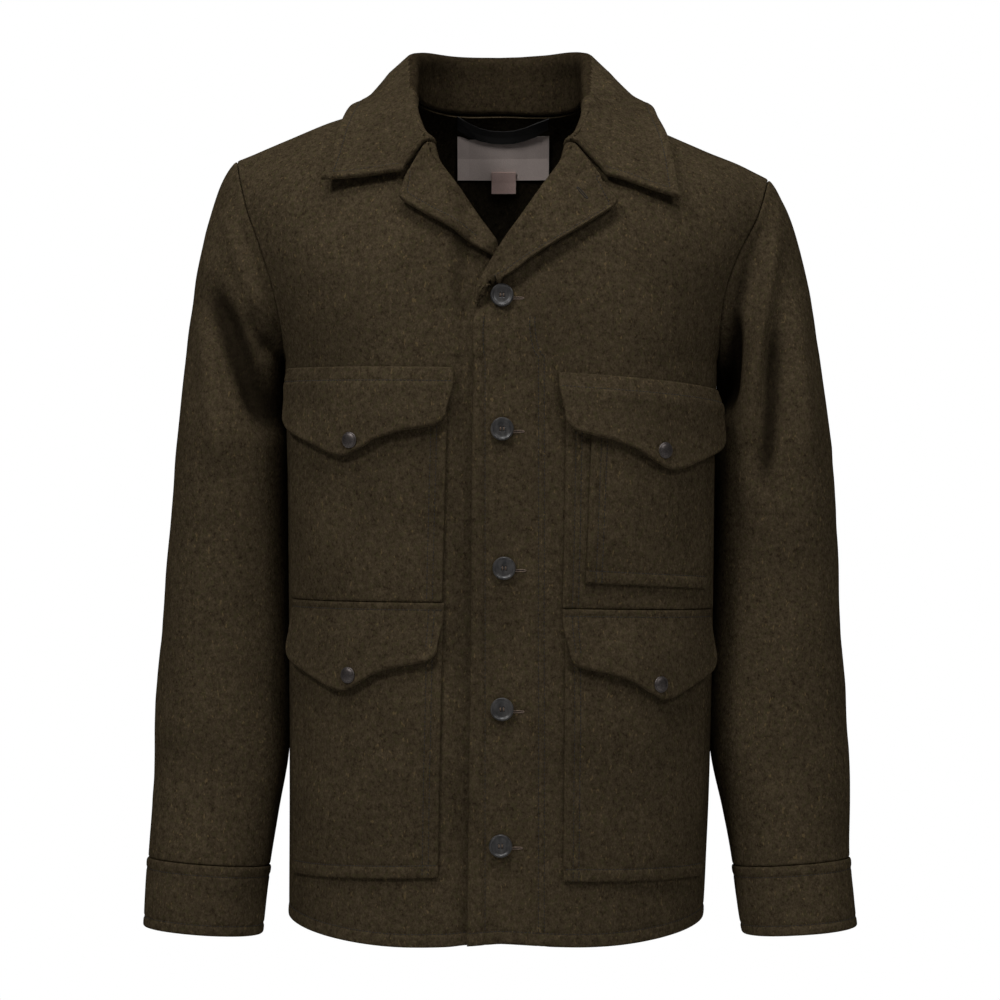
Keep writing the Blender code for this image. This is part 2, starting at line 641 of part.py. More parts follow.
Button = namedtuple("Button", "x z")
BUTTONS = [Button(0.0016, -0.1945), Button(0.0017, -0.3071), Button(0.0034, -0.4243),
           Button(0.0017, -0.5432), Button(0.0003, -0.6578)]


def build_lathe(name, shape, centre, axis, colour, roughness, sides):
    """A solid turned about an axis, closed by a flat base and a flat middle of its face."""
    axis = unit(np.asarray(axis, float))
    across = unit(np.cross(axis, [0.0, 0.0, 1.0]))
    other = np.cross(axis, across)
    angles = 2 * np.pi * np.arange(sides) / sides
    points = []
    for ring in shape:
        for angle in angles:
            spoke = np.cos(angle) * across + np.sin(angle) * other
            points.append(centre + ring.radius * spoke + ring.height * axis)
    faces = [tuple(range(sides))[::-1], tuple(range(len(points) - sides, len(points)))]
    for i in range(len(shape) - 1):
        for j in range(sides):
            k = (j + 1) % sides
            faces.append((i * sides + j, i * sides + k, (i + 1) * sides + k, (i + 1) * sides + j))
    return object_from(name, points, faces, colour, roughness)


def build_buttons(shell):
    for number, button in enumerate(BUTTONS, 1):
        x, z = np.array([button.x]), np.array([button.z])
        row = np.interp(z, [UNDERARM_Z, ridge_z(0.0)], [0.0, 1.0])[0]
        line = body_line(-1, LEFT, 1 + row if button.z > UNDERARM_Z else button.z, x)
        above = body_line(-1, LEFT, 1.04 + row if button.z > UNDERARM_Z else button.z + 0.01, x)
        axis = unit(np.cross(above - line, [[1.0, 0.0, 0.0]]))[0]
        axis = axis if axis[1] < 0 else -axis
        build_lathe(f"button_{number}", BUTTON_SHAPE, line[0] + 0.0006 * axis, axis, BUTTON_COLOUR, 0.45, 20)


# Collar and lapels: cloth that leaves the neck's edge, rolls over and lies on the coat.

Collar = namedtuple("Collar", "neck roll_x roll_y roll_z mid_x mid_z edge_x edge_y edge_z left_z right_x")
COLLAR = [
    Collar(0.00, 0.0000, 0.0830, 0.0410, 0.0000, 0.0150, 0.0000, 0.1160, -0.0340, 0.000, 0.000),
    Collar(0.17, 0.0440, 0.0730, 0.0412, 0.0490, 0.0180, 0.0640, 0.1020, -0.0290, 0.000, 0.000),
    Collar(0.36, 0.0730, 0.0400, 0.0395, 0.0890, 0.0240, 0.1130, 0.0500, -0.0200, 0.000, -0.002),
    Collar(0.51, 0.0800, 0.0080, 0.0290, 0.0985, 0.0130, 0.1310, 0.0020, -0.0190, -0.001, -0.006),
    Collar(0.62, 0.0800, -0.0150, 0.0110, 0.0975, -0.0030, 0.1370, -0.0260, -0.0330, -0.004, -0.008),
    Collar(0.78, 0.0790, -0.0520, -0.0190, 0.0950, -0.0420, 0.1430, -0.0560, -0.0620, -0.010, -0.006),
    Collar(1.00, 0.0665, -0.0850, -0.0600, 0.0800, -0.0930, 0.1540, -0.0980, -0.0960, -0.016, 0.000),
]
LEFT_NOTCH = (0.0874, -0.0962)    # the wearer's left notch, beside the table's, which is the right's
COLLAR_END_Z = -0.0640
COLLAR_STEPS = 33             # stations from one front end round to the other

Lapel = namedtuple("Lapel", "roll_z edge_x edge_z")
LAPELS = {
    LEFT: [Lapel(-0.2010, -0.0165, -0.1975), Lapel(-0.1880, -0.0095, -0.1810),
           Lapel(-0.1730, 0.0070, -0.1780), Lapel(-0.1560, 0.0260, -0.1640),
           Lapel(-0.1390, 0.0475, -0.1500), Lapel(-0.1230, 0.0690, -0.1370),
           Lapel(-0.1080, 0.0975, -0.1175), Lapel(-0.0930, 0.0925, -0.1060),
           Lapel(-0.0790, 0.0888, -0.0995), Lapel(-0.0646, 0.0868, -0.0969)],
    RIGHT: [Lapel(-0.1580, 0.0020, -0.1620), Lapel(-0.1530, 0.0100, -0.1585),
            Lapel(-0.1450, 0.0210, -0.1530), Lapel(-0.1330, 0.0410, -0.1400),
            Lapel(-0.1200, 0.0670, -0.1250), Lapel(-0.1070, 0.0840, -0.1130),
            Lapel(-0.0930, 0.0825, -0.1035), Lapel(-0.0790, 0.0805, -0.0965),
            Lapel(-0.0646, 0.0794, -0.0937)],
}


def neck_edge(side):
    """The panels' neck edge from the centre of the back round to the end of the collar."""
    points = []
    for x in np.linspace(0.0, NECK_HALF, 30):
        points.append(body_line(1, side, 1 + neck_share_at(x), np.array([side * x]))[0])
    for row in np.linspace(2.0, 1.2, 80):
        point = body_line(-1, side, row, np.array([opening_x(side, row)]))[0]
        if point[2] < COLLAR_END_Z:
            break
        points.append(point)
    return np.array(points)


def curve_through(values, keys, at):
    """A smooth curve through the values at rising keys."""
    Row = namedtuple("Row", "key value")
    columns = [read([Row(k, v) for k, v in zip(keys, values[:, c])], "key", "value", at)
               for c in range(values.shape[1])]
    return np.stack(columns, axis=-1)


def rolled_strip(seam, roll, middle, edge, radius, shares):
    """Underside points of cloth that stands at seam, turns over at roll and falls to edge.

    Each argument holds one point per station. The turn is an arc of the given radius."""
    along = directions(roll[None])[0]
    out = unit(middle - roll - np.sum((middle - roll) * unit(along), -1, keepdims=True) * unit(along))
    up = unit(roll - seam)
    up = unit(up - np.sum(up * out, -1, keepdims=True) * out)
    rows = [seam, 0.45 * seam + 0.55 * (roll - radius * (out + up))]
    fall = middle - roll
    last = np.arctan2(np.sum(fall * out, -1), -np.sum(fall * up, -1))
    for share in np.linspace(0, 1, 5):
        angle = (np.pi + (last - np.pi) * share)[:, None]
        rows.append(roll - radius * up + radius * (np.cos(angle) * out + np.sin(angle) * up))
    start = rows[-1]
    for share in shares:
        t = share / 0.33
        if t < 1:
            rows.append(start + (middle - start) * t)
        else:
            rows.append(middle + (edge - middle) * (share - 0.33) / 0.67)
    return np.array(rows)


def build_collar(tree):
    """The collar, from the wearer's right front end round the back of the neck to the left."""
    edges = {side: neck_edge(side) for side in (RIGHT, LEFT)}
    station = np.linspace(-1, 1, COLLAR_STEPS)
    neck = np.array([c.neck for c in COLLAR])
    seam, roll, middle, edge = [], [], [], []
    for at in station:
        side = LEFT if at >= 0 else RIGHT
        line = edges[side]
        along = lengths(line)
        seam.append(points_at(line, [abs(at) * along[-1]])[0])
        drop = np.array([c.left_z if side == LEFT else 0.0 for c in COLLAR])
        table = np.array([[c.roll_x, c.roll_y, c.roll_z, c.mid_x, c.mid_z, c.edge_x, c.edge_y, c.edge_z]
                          for c in COLLAR])
        table[:, 2] += 0.3 * drop
        table[:, 7] += drop
        if side == LEFT:
            table[-1, 3:5] = LEFT_NOTCH
        else:
            table[:, 5] += [c.right_x for c in COLLAR]
        table[-1, :3] = np.abs(lapel_roll(side, COLLAR_END_Z)[1]) * [1, -1, -1]
        row = curve_through(table, neck, np.array([abs(at)]))[0]
        roll.append([side * row[0], row[1], row[2]])
        middle.append([side * row[3], row[1] + 0.33 * (row[6] - row[1]), row[4]])
        edge.append([side * row[5], row[6], row[7]])
    seam, roll, middle, edge = (np.array(p) for p in (seam, roll, middle, edge))
    seam = seam + 0.0006 * unit(roll - seam)
    seam[:, 0] -= 0.0013 * np.sign(station) * smoothstep(np.abs(station), 0.45, 0.60)
    grid = rolled_strip(seam, roll, middle, edge, 0.0014, [0.08, 0.2, 0.33, 0.48, 0.64, 0.82, 1.0])
    grid = push_clear(grid, tree, 0.0009, first_row=2)
    normals = normals_of(grid)
    if normals[2, COLLAR_STEPS // 2, 1] > 0:
        normals = -normals
    solid_from("collar", grid + DOUBLE * normals, grid, WOOL)


def lapel_roll(side, level):
    """Where a lapel starts beside the front's edge at a height, and where it turns over."""
    edge = front_point(side, side * read(OPENING, "z", "half", level), level)
    seam = edge + np.array([-0.0006 * side, 0.0, 0.0])
    return seam, seam + np.array([-0.0004 * side, -0.0024, 0.0])


def build_lapel(tree, side):
    """A lapel: the turned-back top of a front, from its break up to the collar."""
    table = LAPELS[side]
    ends = [lapel_roll(side, row.roll_z) for row in table]
    seam, roll = (np.array([end[k] for end in ends]) for k in (0, 1))
    edge = np.array([front_point(side, side * row.edge_x, row.edge_z) for row in table])
    middle = roll + 0.33 * (edge - roll)
    grid = rolled_strip(seam, roll, middle, edge, 0.0010, [0.15, 0.33, 0.5, 0.75, 1.0])
    grid = push_clear(grid, tree, 0.0018, first_row=2)
    normals = normals_of(grid)
    if normals[-1, 4, 1] > 0:
        normals = -normals
    solid_from("lapel_" + side_name(side), grid + DOUBLE * normals, grid, WOOL)


def body_point(face, side, x, z):
    """The point of the body's outer face at a place in the view from the front."""
    if z <= UNDERARM_Z:
        return body_line(face, side, z, np.array([x]))[0]
    share = (z - UNDERARM_Z) / (ridge_z(x) - UNDERARM_Z)
    return body_line(face, side, 1 + min(share, 1.0), np.array([x]))[0]


def front_point(side, x, z):
    """The point of a front's outer face at a place in the view from the front."""
    drop = under_drop(x, z) if side == RIGHT else 0.0
    return body_point(-1, side, x, z) + np.array([0.0, drop, 0.0])


def push_clear(grid, tree, clearance, first_row=0):
    """Moves points out along the panels' normals until they, and the middles of the faces and
    edges between them, stand clear of the panels."""
    moved = grid.copy()
    places = [(i, j) for i in range(first_row, grid.shape[0]) for j in range(grid.shape[1])]
    for _ in range(4):
        for i, j in places:
            for a, b in ((0, 0), (1, 0), (0, 1), (1, 1), (-1, 1)):
                if not (first_row <= i + a < grid.shape[0] and j + b < grid.shape[1]):
                    continue
                middle = (moved[i, j] + moved[i + a, j + b]) / 2
                place, normal, _, _ = tree.find_nearest(middle)
                height = (middle - np.array(place)) @ np.array(normal)
                if height < clearance:
                    moved[i, j] += (clearance - height) * np.array(normal)
                    if a or b:
                        moved[i + a, j + b] += (clearance - height) * np.array(normal)
    return moved


def tree_of(panels):
    """A search tree of panels' faces, each turned to agree with its panel's normals."""
    points, faces, count = [], [], 0
    for grid, outward in panels:
        rows, columns = grid.shape[:2]
        number = np.arange(rows * columns).reshape(rows, columns) + count
        a, b, c, d = number[:-1, :-1], number[:-1, 1:], number[1:, 1:], number[1:, :-1]
        quads = np.stack([a, b, c, d], -1).reshape(-1, 4)
        middle = np.cross(grid[1, 1] - grid[0, 0], grid[1, 0] - grid[0, 1])
        faces += (quads if middle @ outward[0, 0] > 0 else quads[:, ::-1]).tolist()
        points += grid.reshape(-1, 3).tolist()
        count += rows * columns
    return BVHTree.FromPolygons(points, faces)


# Label, size tab and hanging loop inside the back of the neck.

Inside = namedtuple("Inside", "name x_left x_right z_top z_bottom end_off off thick sag colour")
INSIDE = [
    Inside("neck_label", -0.0400, 0.0460, -0.0270, -0.0655, 0.0007, 0.0007, 0.0008, 0.0, (0.30, 0.25, 0.17)),
    Inside("size_tab", -0.0080, 0.0150, -0.0580, -0.0775, 0.0019, 0.0019, 0.0006, 0.0, (0.42, 0.30, 0.26)),
    Inside("hanger_loop", -0.0400, 0.0450, -0.0100, -0.0210, 0.0008, 0.0022, 0.0014, 0.0115, (0.02, 0.019, 0.017)),
]


def build_inside(back_tree):
    """Thin pieces that hang against the inside of the back."""
    for piece in INSIDE:
        u = np.linspace(0, 1, 9)
        v = np.linspace(0, 1, 3)
        x = piece.x_left + (piece.x_right - piece.x_left) * u
        sag = piece.sag * 4 * u * (1 - u)
        grid = np.zeros((len(v), len(u), 3))
        normals = np.zeros_like(grid)
        for i in range(len(v)):
            for j in range(len(u)):
                z = piece.z_top - sag[j] + (piece.z_bottom - piece.z_top) * v[i]
                side = LEFT if x[j] >= 0 else RIGHT
                start = body_point(1, side, x[j], z) - np.array([0, CLOTH + 0.001, 0])
                place, normal, _, _ = back_tree.find_nearest(start)
                normals[i, j] = normal
                grid[i, j] = np.array(place)
        mean = unit(normals.mean(axis=(0, 1)))
        normals = normals_of(grid)
        normals = normals * np.sign(np.sum(normals * mean, -1, keepdims=True))
        rise = piece.end_off + (piece.off - piece.end_off) * smoothstep(u * (1 - u), 0.0, 0.1)
        near = push_clear(grid + rise[None, :, None] * normals, back_tree, piece.end_off)
        solid_from(piece.name, near + piece.thick * normals, near, piece.colour)


def clear_scene():
    for old in list(bpy.data.objects):
        bpy.data.objects.remove(old, do_unlink=True)


def main():
    clear_scene()
    grids, normals = build_shell()
    shell = (grids, normals)
    build_cuffs()
    for pocket in POCKETS:
        build_pocket(shell, pocket)
    for flap in FLAPS:
        build_flap(shell, flap)
    build_buttons(shell)
    panels = {name: (grids[name], normals[name]) for name in ("back", "front_right", "front_left")}
    build_collar(tree_of(panels.values()))
    for side in (RIGHT, LEFT):
        build_lapel(tree_of([panels["front_" + side_name(side)]]), side)
    inner = grids["back"] - CLOTH * normals["back"]
    build_inside(tree_of([(inner, -normals["back"])]))


main()
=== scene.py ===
"""The looks of a men's hip-length wool coat, filled out as if worn, with nobody in it."""

from collections import namedtuple
from itertools import product

import bpy
import numpy as np
from mathutils import Matrix
from mathutils.bvhtree import BVHTree


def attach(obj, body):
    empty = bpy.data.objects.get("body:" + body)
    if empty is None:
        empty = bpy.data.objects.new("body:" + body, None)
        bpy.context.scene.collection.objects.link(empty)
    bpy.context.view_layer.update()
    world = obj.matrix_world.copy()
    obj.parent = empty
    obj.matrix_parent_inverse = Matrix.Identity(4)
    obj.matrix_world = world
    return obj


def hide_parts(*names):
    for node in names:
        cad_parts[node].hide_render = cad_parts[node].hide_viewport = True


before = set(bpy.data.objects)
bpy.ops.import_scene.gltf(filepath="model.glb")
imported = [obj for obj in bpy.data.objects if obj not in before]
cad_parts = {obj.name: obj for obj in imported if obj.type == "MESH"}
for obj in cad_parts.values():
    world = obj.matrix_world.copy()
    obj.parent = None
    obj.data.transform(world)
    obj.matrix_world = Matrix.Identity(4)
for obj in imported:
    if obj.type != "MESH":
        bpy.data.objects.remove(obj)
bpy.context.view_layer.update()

# The studio: a level camera in front of the chest, a pale floor well below the hem, and four
# soft lights. The key and the fill stand high in front to each side, one hangs above the chest,
# and a weak one is behind, so that the folds and the sides of the coat fall dark.

CAMERA_PLACE = (0.0, -2.2, -0.367)
FLOOR_Z = -1.25
FLOOR_RADIUS = 6
FLOOR_SIDES = 64
Light = namedtuple("Light", "name place aim width height power")
LIGHTS = [
    Light("key", (-1.7, -2.0, 2.0), (0.0, 0.0, -0.40), 0.6, 0.6, 42.0),
    Light("fill", (1.7, -2.2, 1.7), (0.0, 0.0, -0.40), 0.8, 0.8, 22.0),
    Light("top", (0.0, -1.2, 2.3), (0.0, 0.0, -0.2), 0.9, 0.6, 32.0),
    Light("rear", (0.0, 2.6, 1.2), (0.0, 0.0, -0.3), 1.6, 1.6, 8.0),
]


def studio_light(light):
    """A rectangular soft light that faces a point."""
    lamp = bpy.data.lights.new(light.name, "AREA")
    lamp.shape = "RECTANGLE"
    lamp.size = light.width
    lamp.size_y = light.height
    lamp.energy = light.power
    holder = bpy.data.objects.new(light.name, lamp)
    back = np.array(light.place) - np.array(light.aim)
    back = back / np.linalg.norm(back)
    right = np.cross([0.0, 0.0, 1.0], back)
    right = right / np.linalg.norm(right)
    turn = np.stack([right, np.cross(back, right), back], axis=1)
    matrix = np.eye(4)
    matrix[:3, :3] = turn
    matrix[:3, 3] = light.place
    holder.matrix_world = Matrix(matrix.tolist())
    bpy.context.scene.collection.objects.link(holder)


for light in LIGHTS:
    studio_light(light)

camera = bpy.data.objects.new("camera", bpy.data.cameras.new("camera"))
camera.data.lens = 88.0
camera.data.sensor_width = 36.0
camera.location = CAMERA_PLACE
camera.rotation_euler = (np.pi / 2, 0.0, 0.0)
bpy.context.scene.collection.objects.link(camera)
bpy.context.scene.camera = camera
bpy.context.scene.view_settings.view_transform = "Standard"


def white_for_camera(nodes, links, lit_shader, output, brightness):
    """Joins a shader that shows an even pale tone to the camera and lit_shader to the light."""
    path = nodes.new("ShaderNodeLightPath")
    glow = nodes.new("ShaderNodeBackground" if lit_shader.type == "BACKGROUND" else "ShaderNodeEmission")
    glow.inputs["Color"].default_value = (1.0, 1.0, 1.0, 1.0)
    glow.inputs["Strength"].default_value = brightness
    mix = nodes.new("ShaderNodeMixShader")
    links.new(path.outputs["Is Camera Ray"], mix.inputs[0])
    links.new(lit_shader.outputs[0], mix.inputs[1])
    links.new(glow.outputs[0], mix.inputs[2])
    links.new(mix.outputs[0], output.inputs["Surface"])


world = bpy.data.worlds.new("studio")
bpy.context.scene.world = world
world.use_nodes = True
air = world.node_tree.nodes["Background"]
air.inputs["Color"].default_value = (1.0, 1.0, 1.0, 1.0)
air.inputs["Strength"].default_value = 0.06
white_for_camera(world.node_tree.nodes, world.node_tree.links, air,
                 world.node_tree.nodes["World Output"], 1.0)

floor_mesh = bpy.data.meshes.new("floor")
ring = np.linspace(0, 2 * np.pi, FLOOR_SIDES, endpoint=False)
floor_points = np.stack([FLOOR_RADIUS * np.cos(ring), FLOOR_RADIUS * np.sin(ring), 0 * ring + FLOOR_Z], 1)
floor_mesh.from_pydata(floor_points, [], [list(range(FLOOR_SIDES))])
floor = bpy.data.objects.new("floor", floor_mesh)
bpy.context.scene.collection.objects.link(floor)
floor_material = bpy.data.materials.new("pale floor")
floor_material.use_nodes = True
floor_nodes = floor_material.node_tree.nodes
floor_nodes["Principled BSDF"].inputs["Base Color"].default_value = (0.8, 0.8, 0.8, 1.0)
floor_nodes["Principled BSDF"].inputs["Roughness"].default_value = 0.9
white_for_camera(floor_nodes, floor_material.node_tree.links, floor_nodes["Principled BSDF"],
                 floor_nodes["Material Output"], 1.0)
floor_mesh.materials.append(floor_material)

# The cloth: heavy fulled wool in a heather of dark olive, brown and a few pale yellow-green hairs.
# Its surface is a short nap with no weave showing; the inside of the coat is the same cloth, drawn in a
# darker tone as painted shade.

WOOL_TONE = (0.050, 0.0365, 0.0222)
# Painted shade: the inner faces of the coat take the wool's tone darkened to about two fifths.
INSIDE_PAINTED_SHADE_TONE = (0.020, 0.0150, 0.0095)
# Painted shade: the collar stand's face inside the neck opening takes the wool's tone darkened by about
# half.
STAND_PAINTED_SHADE_TONE = (0.026, 0.0185, 0.0110)
# Painted shade: at the bottom of a deep sleeve fold the colour is darkened to this share of the tone.
FOLD_PAINTED_SHADE_SHARE = 0.12            # share of the tone that is left at the bottom of a deep fold


def new_node(tree, kind, **sockets):
    """A node with values set on its named sockets; underscores stand for spaces."""
    node = tree.nodes.new(kind)
    for name, value in sockets.items():
        node.inputs[name.replace("_", " ")].default_value = value
    return node


def scaled_noise(tree, coords, scale, detail, rough, stretch=(1.0, 1.0, 1.0)):
    """A noise pattern on object coordinates, this many cells to a metre."""
    mapping = tree.nodes.new("ShaderNodeMapping")
    mapping.inputs["Scale"].default_value = stretch
    tree.links.new(coords, mapping.inputs["Vector"])
    noise = new_node(tree, "ShaderNodeTexNoise", Scale=scale, Detail=detail, Roughness=rough)
    tree.links.new(mapping.outputs["Vector"], noise.inputs["Vector"])
    return noise.outputs["Fac"]


def spread_value(tree, value, low, high, to_low=0.0, to_high=1.0):
    """The value carried from one range to another and held to its ends."""
    node = tree.nodes.new("ShaderNodeMapRange")
    tree.links.new(value, node.inputs["Value"])
    for name, number in (("From Min", low), ("From Max", high), ("To Min", to_low), ("To Max", to_high)):
        node.inputs[name].default_value = number
    return node.outputs["Result"]


def mixed_colour(tree, factor, a, b, blend="MIX"):
    """Two colours mixed; each is a socket or a plain colour."""
    node = tree.nodes.new("ShaderNodeMix")
    node.data_type = "RGBA"
    node.blend_type = blend
    for socket, value in ((node.inputs[0], factor), (node.inputs[6], a), (node.inputs[7], b)):
        if isinstance(value, (float, int)):
            socket.default_value = value
        elif isinstance(value, tuple):
            socket.default_value = (*value, 1.0)
        else:
            tree.links.new(value, socket)
    return node.outputs[2]


def arithmetic(tree, operation, a, b):
    """One sum or product of two values, each a socket or a number."""
    node = tree.nodes.new("ShaderNodeMath")
    node.operation = operation
    for socket, value in ((node.inputs[0], a), (node.inputs[1], b)):
        if isinstance(value, (float, int)):
            socket.default_value = value
        else:
            tree.links.new(value, socket)
    return node.outputs[0]


def heather_group():
    """Wool heather: hairs of a darker and a lighter tone in clumps, with sparse pale hairs and a
    slow change of tone. It puts out the colour, the roughness and the height of the nap."""
    tree = bpy.data.node_groups.new("wool heather", "ShaderNodeTree")
    tree.interface.new_socket("Tone", in_out="INPUT", socket_type="NodeSocketColor")
    for name, kind in (("Color", "NodeSocketColor"), ("Roughness", "NodeSocketFloat"),
                       ("Height", "NodeSocketFloat")):
        tree.interface.new_socket(name, in_out="OUTPUT", socket_type=kind)
    inward = tree.nodes.new("NodeGroupInput")
    outward = tree.nodes.new("NodeGroupOutput")
    coords = tree.nodes.new("ShaderNodeTexCoord").outputs["Object"]
    hairs = scaled_noise(tree, coords, 620.0, 3.0, 0.70, (1.0, 1.0, 0.72))
    clumps = scaled_noise(tree, coords, 210.0, 3.0, 0.62)
    slow = scaled_noise(tree, coords, 16.0, 2.0, 0.5)
    pale = scaled_noise(tree, coords, 430.0, 1.0, 0.5, (1.0, 1.0, 0.5))
    green = scaled_noise(tree, coords, 330.0, 2.0, 0.5)
    base = inward.outputs["Tone"]
    dark = mixed_colour(tree, 1.0, base, (0.50, 0.48, 0.46), "MULTIPLY")
    light = mixed_colour(tree, 1.0, base, (1.62, 1.66, 1.62), "MULTIPLY")
    mix = arithmetic(tree, "ADD", arithmetic(tree, "MULTIPLY", hairs, 0.55),
                     arithmetic(tree, "MULTIPLY", clumps, 0.45))
    colour = mixed_colour(tree, spread_value(tree, mix, 0.36, 0.64), dark, light)
    mossy = mixed_colour(tree, 1.0, base, (1.05, 1.30, 0.90), "MULTIPLY")
    colour = mixed_colour(tree, spread_value(tree, green, 0.50, 0.70, 0.0, 0.5), colour, mossy)
    straw = mixed_colour(tree, 1.0, base, (2.7, 2.6, 2.0), "MULTIPLY")
    colour = mixed_colour(tree, spread_value(tree, pale, 0.66, 0.74, 0.0, 0.55), colour, straw)
    slow_tone = spread_value(tree, slow, 0.3, 0.7, 0.90, 1.10)
    tone = tree.nodes.new("ShaderNodeCombineColor")
    for socket in tone.inputs:
        tree.links.new(slow_tone, socket)
    colour = mixed_colour(tree, 1.0, colour, tone.outputs[0], "MULTIPLY")
    tree.links.new(colour, outward.inputs["Color"])
    tree.links.new(spread_value(tree, clumps, 0.3, 0.7, 0.86, 1.0), outward.inputs["Roughness"])
    tree.links.new(mix, outward.inputs["Height"])
    return tree


HEATHER = heather_group()


def wool_material(name, tone, bump=0.55):
    """Napped wool: the heather group, a fine bump for the nap, and a darker tone as painted shade
    where the mesh has a shade value."""
    material = bpy.data.materials.new(name)
    material.use_nodes = True
    tree = material.node_tree
    shader = tree.nodes["Principled BSDF"]
    heather = tree.nodes.new("ShaderNodeGroup")
    heather.node_tree = HEATHER
    heather.inputs["Tone"].default_value = (*tone, 1.0)
    nap = new_node(tree, "ShaderNodeBump", Strength=bump, Distance=0.0011)
    tree.links.new(heather.outputs["Height"], nap.inputs["Height"])
    # Painted shade: the mesh's shade value darkens the colour at the bottoms of the folds.
    shade = tree.nodes.new("ShaderNodeAttribute")
    shade.attribute_name = "shade"
    shaded = mixed_colour(tree, shade.outputs["Fac"], heather.outputs["Color"],
                          tuple(FOLD_PAINTED_SHADE_SHARE * c for c in tone))
    tree.links.new(shaded, shader.inputs["Base Color"])
    tree.links.new(heather.outputs["Roughness"], shader.inputs["Roughness"])
    tree.links.new(nap.outputs["Normal"], shader.inputs["Normal"])
    shader.inputs["Specular IOR Level"].default_value = 0.0
    return material


WOOL_OUT = wool_material("wool", WOOL_TONE)
# The inside wool is the same cloth in a darker tone, which is painted shade.
WOOL_IN_PAINTED_SHADE = wool_material("wool inside with painted shade", INSIDE_PAINTED_SHADE_TONE)
# The collar stand's wool is the same cloth in a darker tone, which is painted shade.
WOOL_STAND_PAINTED_SHADE = wool_material("wool of the collar stand", STAND_PAINTED_SHADE_TONE)

# Thread: matt spun thread a little darker than the cloth.
THREAD = bpy.data.materials.new("thread")
THREAD.use_nodes = True
thread_tree = THREAD.node_tree
thread_coords = thread_tree.nodes.new("ShaderNodeTexCoord").outputs["Object"]
twist = scaled_noise(thread_tree, thread_coords, 900.0, 2.0, 0.5)
thread_tree.links.new(mixed_colour(thread_tree, twist, (0.007, 0.005, 0.003), (0.020, 0.015, 0.010)),
                      thread_tree.nodes["Principled BSDF"].inputs["Base Color"])
thread_tree.nodes["Principled BSDF"].inputs["Roughness"].default_value = 0.8

# Sizes of the cloth and its sewing, in metres.
CLOTH = 0.0026            # one layer of heavy wool
DOUBLE = 0.0044           # two layers sewn together: placket edge, cuffs, collar, lapels
SEAM = 0.0003             # the gap left between two pieces that are sewn together
SLEEVE_SEAM = 0.0008      # and round the armhole, where the cloth turns sharply
SEAM_DIP = 0.0026         # how far from a seam the cloth starts to dip into it
STITCH = 0.0032
STITCH_GROOVE = 0.0013    # half the width of the groove that a row of stitches presses
MIDDLE = 0.33             # share of a turned cloth's fall at which its middle line lies
EDGE_STOPS = [0.0, 0.0004, 0.0010, 0.0018, 0.0030, 0.0048]
SEAM_STOPS = [0.0, 0.0006, 0.0014, 0.0026, 0.0045]
RIGHT, LEFT = -1, 1       # the wearer's sides


def smoothstep(x, low, high):
    """0 below low, 1 above high, with a smooth rise between them."""
    t = np.clip((np.asarray(x, float) - low) / (high - low), 0.0, 1.0)
    return t * t * (3.0 - 2.0 * t)


def read(table, key, column, at):
    """A named column of a table, read at any value of its key column along a smooth curve."""
    keys = np.array([getattr(row, key) for row in table])
    values = np.array([getattr(row, column) for row in table])
    slopes = np.gradient(values, keys)
    at = np.clip(np.asarray(at, float), keys[0], keys[-1])
    i = np.clip(np.searchsorted(keys, at, side="right") - 1, 0, len(keys) - 2)
    step = keys[i + 1] - keys[i]
    t = (at - keys[i]) / step
    return ((2 * t**3 - 3 * t**2 + 1) * values[i] + (t**3 - 2 * t**2 + t) * step * slopes[i]
            + (3 * t**2 - 2 * t**3) * values[i + 1] + (t**3 - t**2) * step * slopes[i + 1])


def unit(vectors):
    """The vectors, each made one long."""
    length = np.linalg.norm(vectors, axis=-1, keepdims=True)
    return vectors / np.maximum(length, 1e-12)


def side_name(side):
    return "left" if side == LEFT else "right"


def lengths(line):
    """Length of cloth from the first point of a line to each of its points."""
    steps = np.linalg.norm(np.diff(line, axis=0), axis=1)
    return np.concatenate([[0.0], np.cumsum(steps)])


def points_at(line, distances):
    """Points of a line at these lengths along it."""
    along = lengths(line)
    return np.stack([np.interp(distances, along, line[:, k]) for k in range(3)], axis=-1)


def directions(grid, closed=False):
    """Direction of a grid's rows at each point: the mean of the ways in and out, each one long."""
    if closed:
        grid = np.concatenate([grid[:, -1:], grid, grid[:, :1]], axis=1)
    steps = unit(np.diff(grid, axis=1))
    if closed:
        return steps[:, 1:] + steps[:, :-1]
    return np.concatenate([steps[:, :1], steps[:, 1:] + steps[:, :-1], steps[:, -1:]], axis=1)


def normals_of(grid, closed=False):
    """Unit normals of a grid, from the cross product of its two directions."""
    down = directions(grid.transpose(1, 0, 2)).transpose(1, 0, 2)
    return unit(np.cross(directions(grid, closed), down))


def stops(rows, ends=EDGE_STOPS):
    """Distances from an edge at which cloth gets points: close at the edge and at each stitch row."""
    found = list(ends)
    for row in rows:
        found += [row - 0.0022, row - 0.0011, row, row + 0.0011, row + 0.0022]
    found = sorted(found)
    kept = [found[0]]
    for place in found[1:]:
        if place - kept[-1] > 0.00035:
            kept.append(place)
    return np.array(kept)


def through(line, at):
    """A smooth curve through a line of points, read at lengths along it."""
    keys = lengths(line[:, :3])
    slopes = np.gradient(line, keys, axis=0)
    at = np.clip(at, keys[0], keys[-1])
    i = np.clip(np.searchsorted(keys, at, side="right") - 1, 0, len(keys) - 2)
    step = (keys[i + 1] - keys[i])[:, None]
    t = (at - keys[i])[:, None] / step
    return ((2 * t**3 - 3 * t**2 + 1) * line[i] + (t**3 - 2 * t**2 + t) * step * slopes[i]
            + (3 * t**2 - 2 * t**3) * line[i + 1] + (t**3 - t**2) * step * slopes[i + 1])


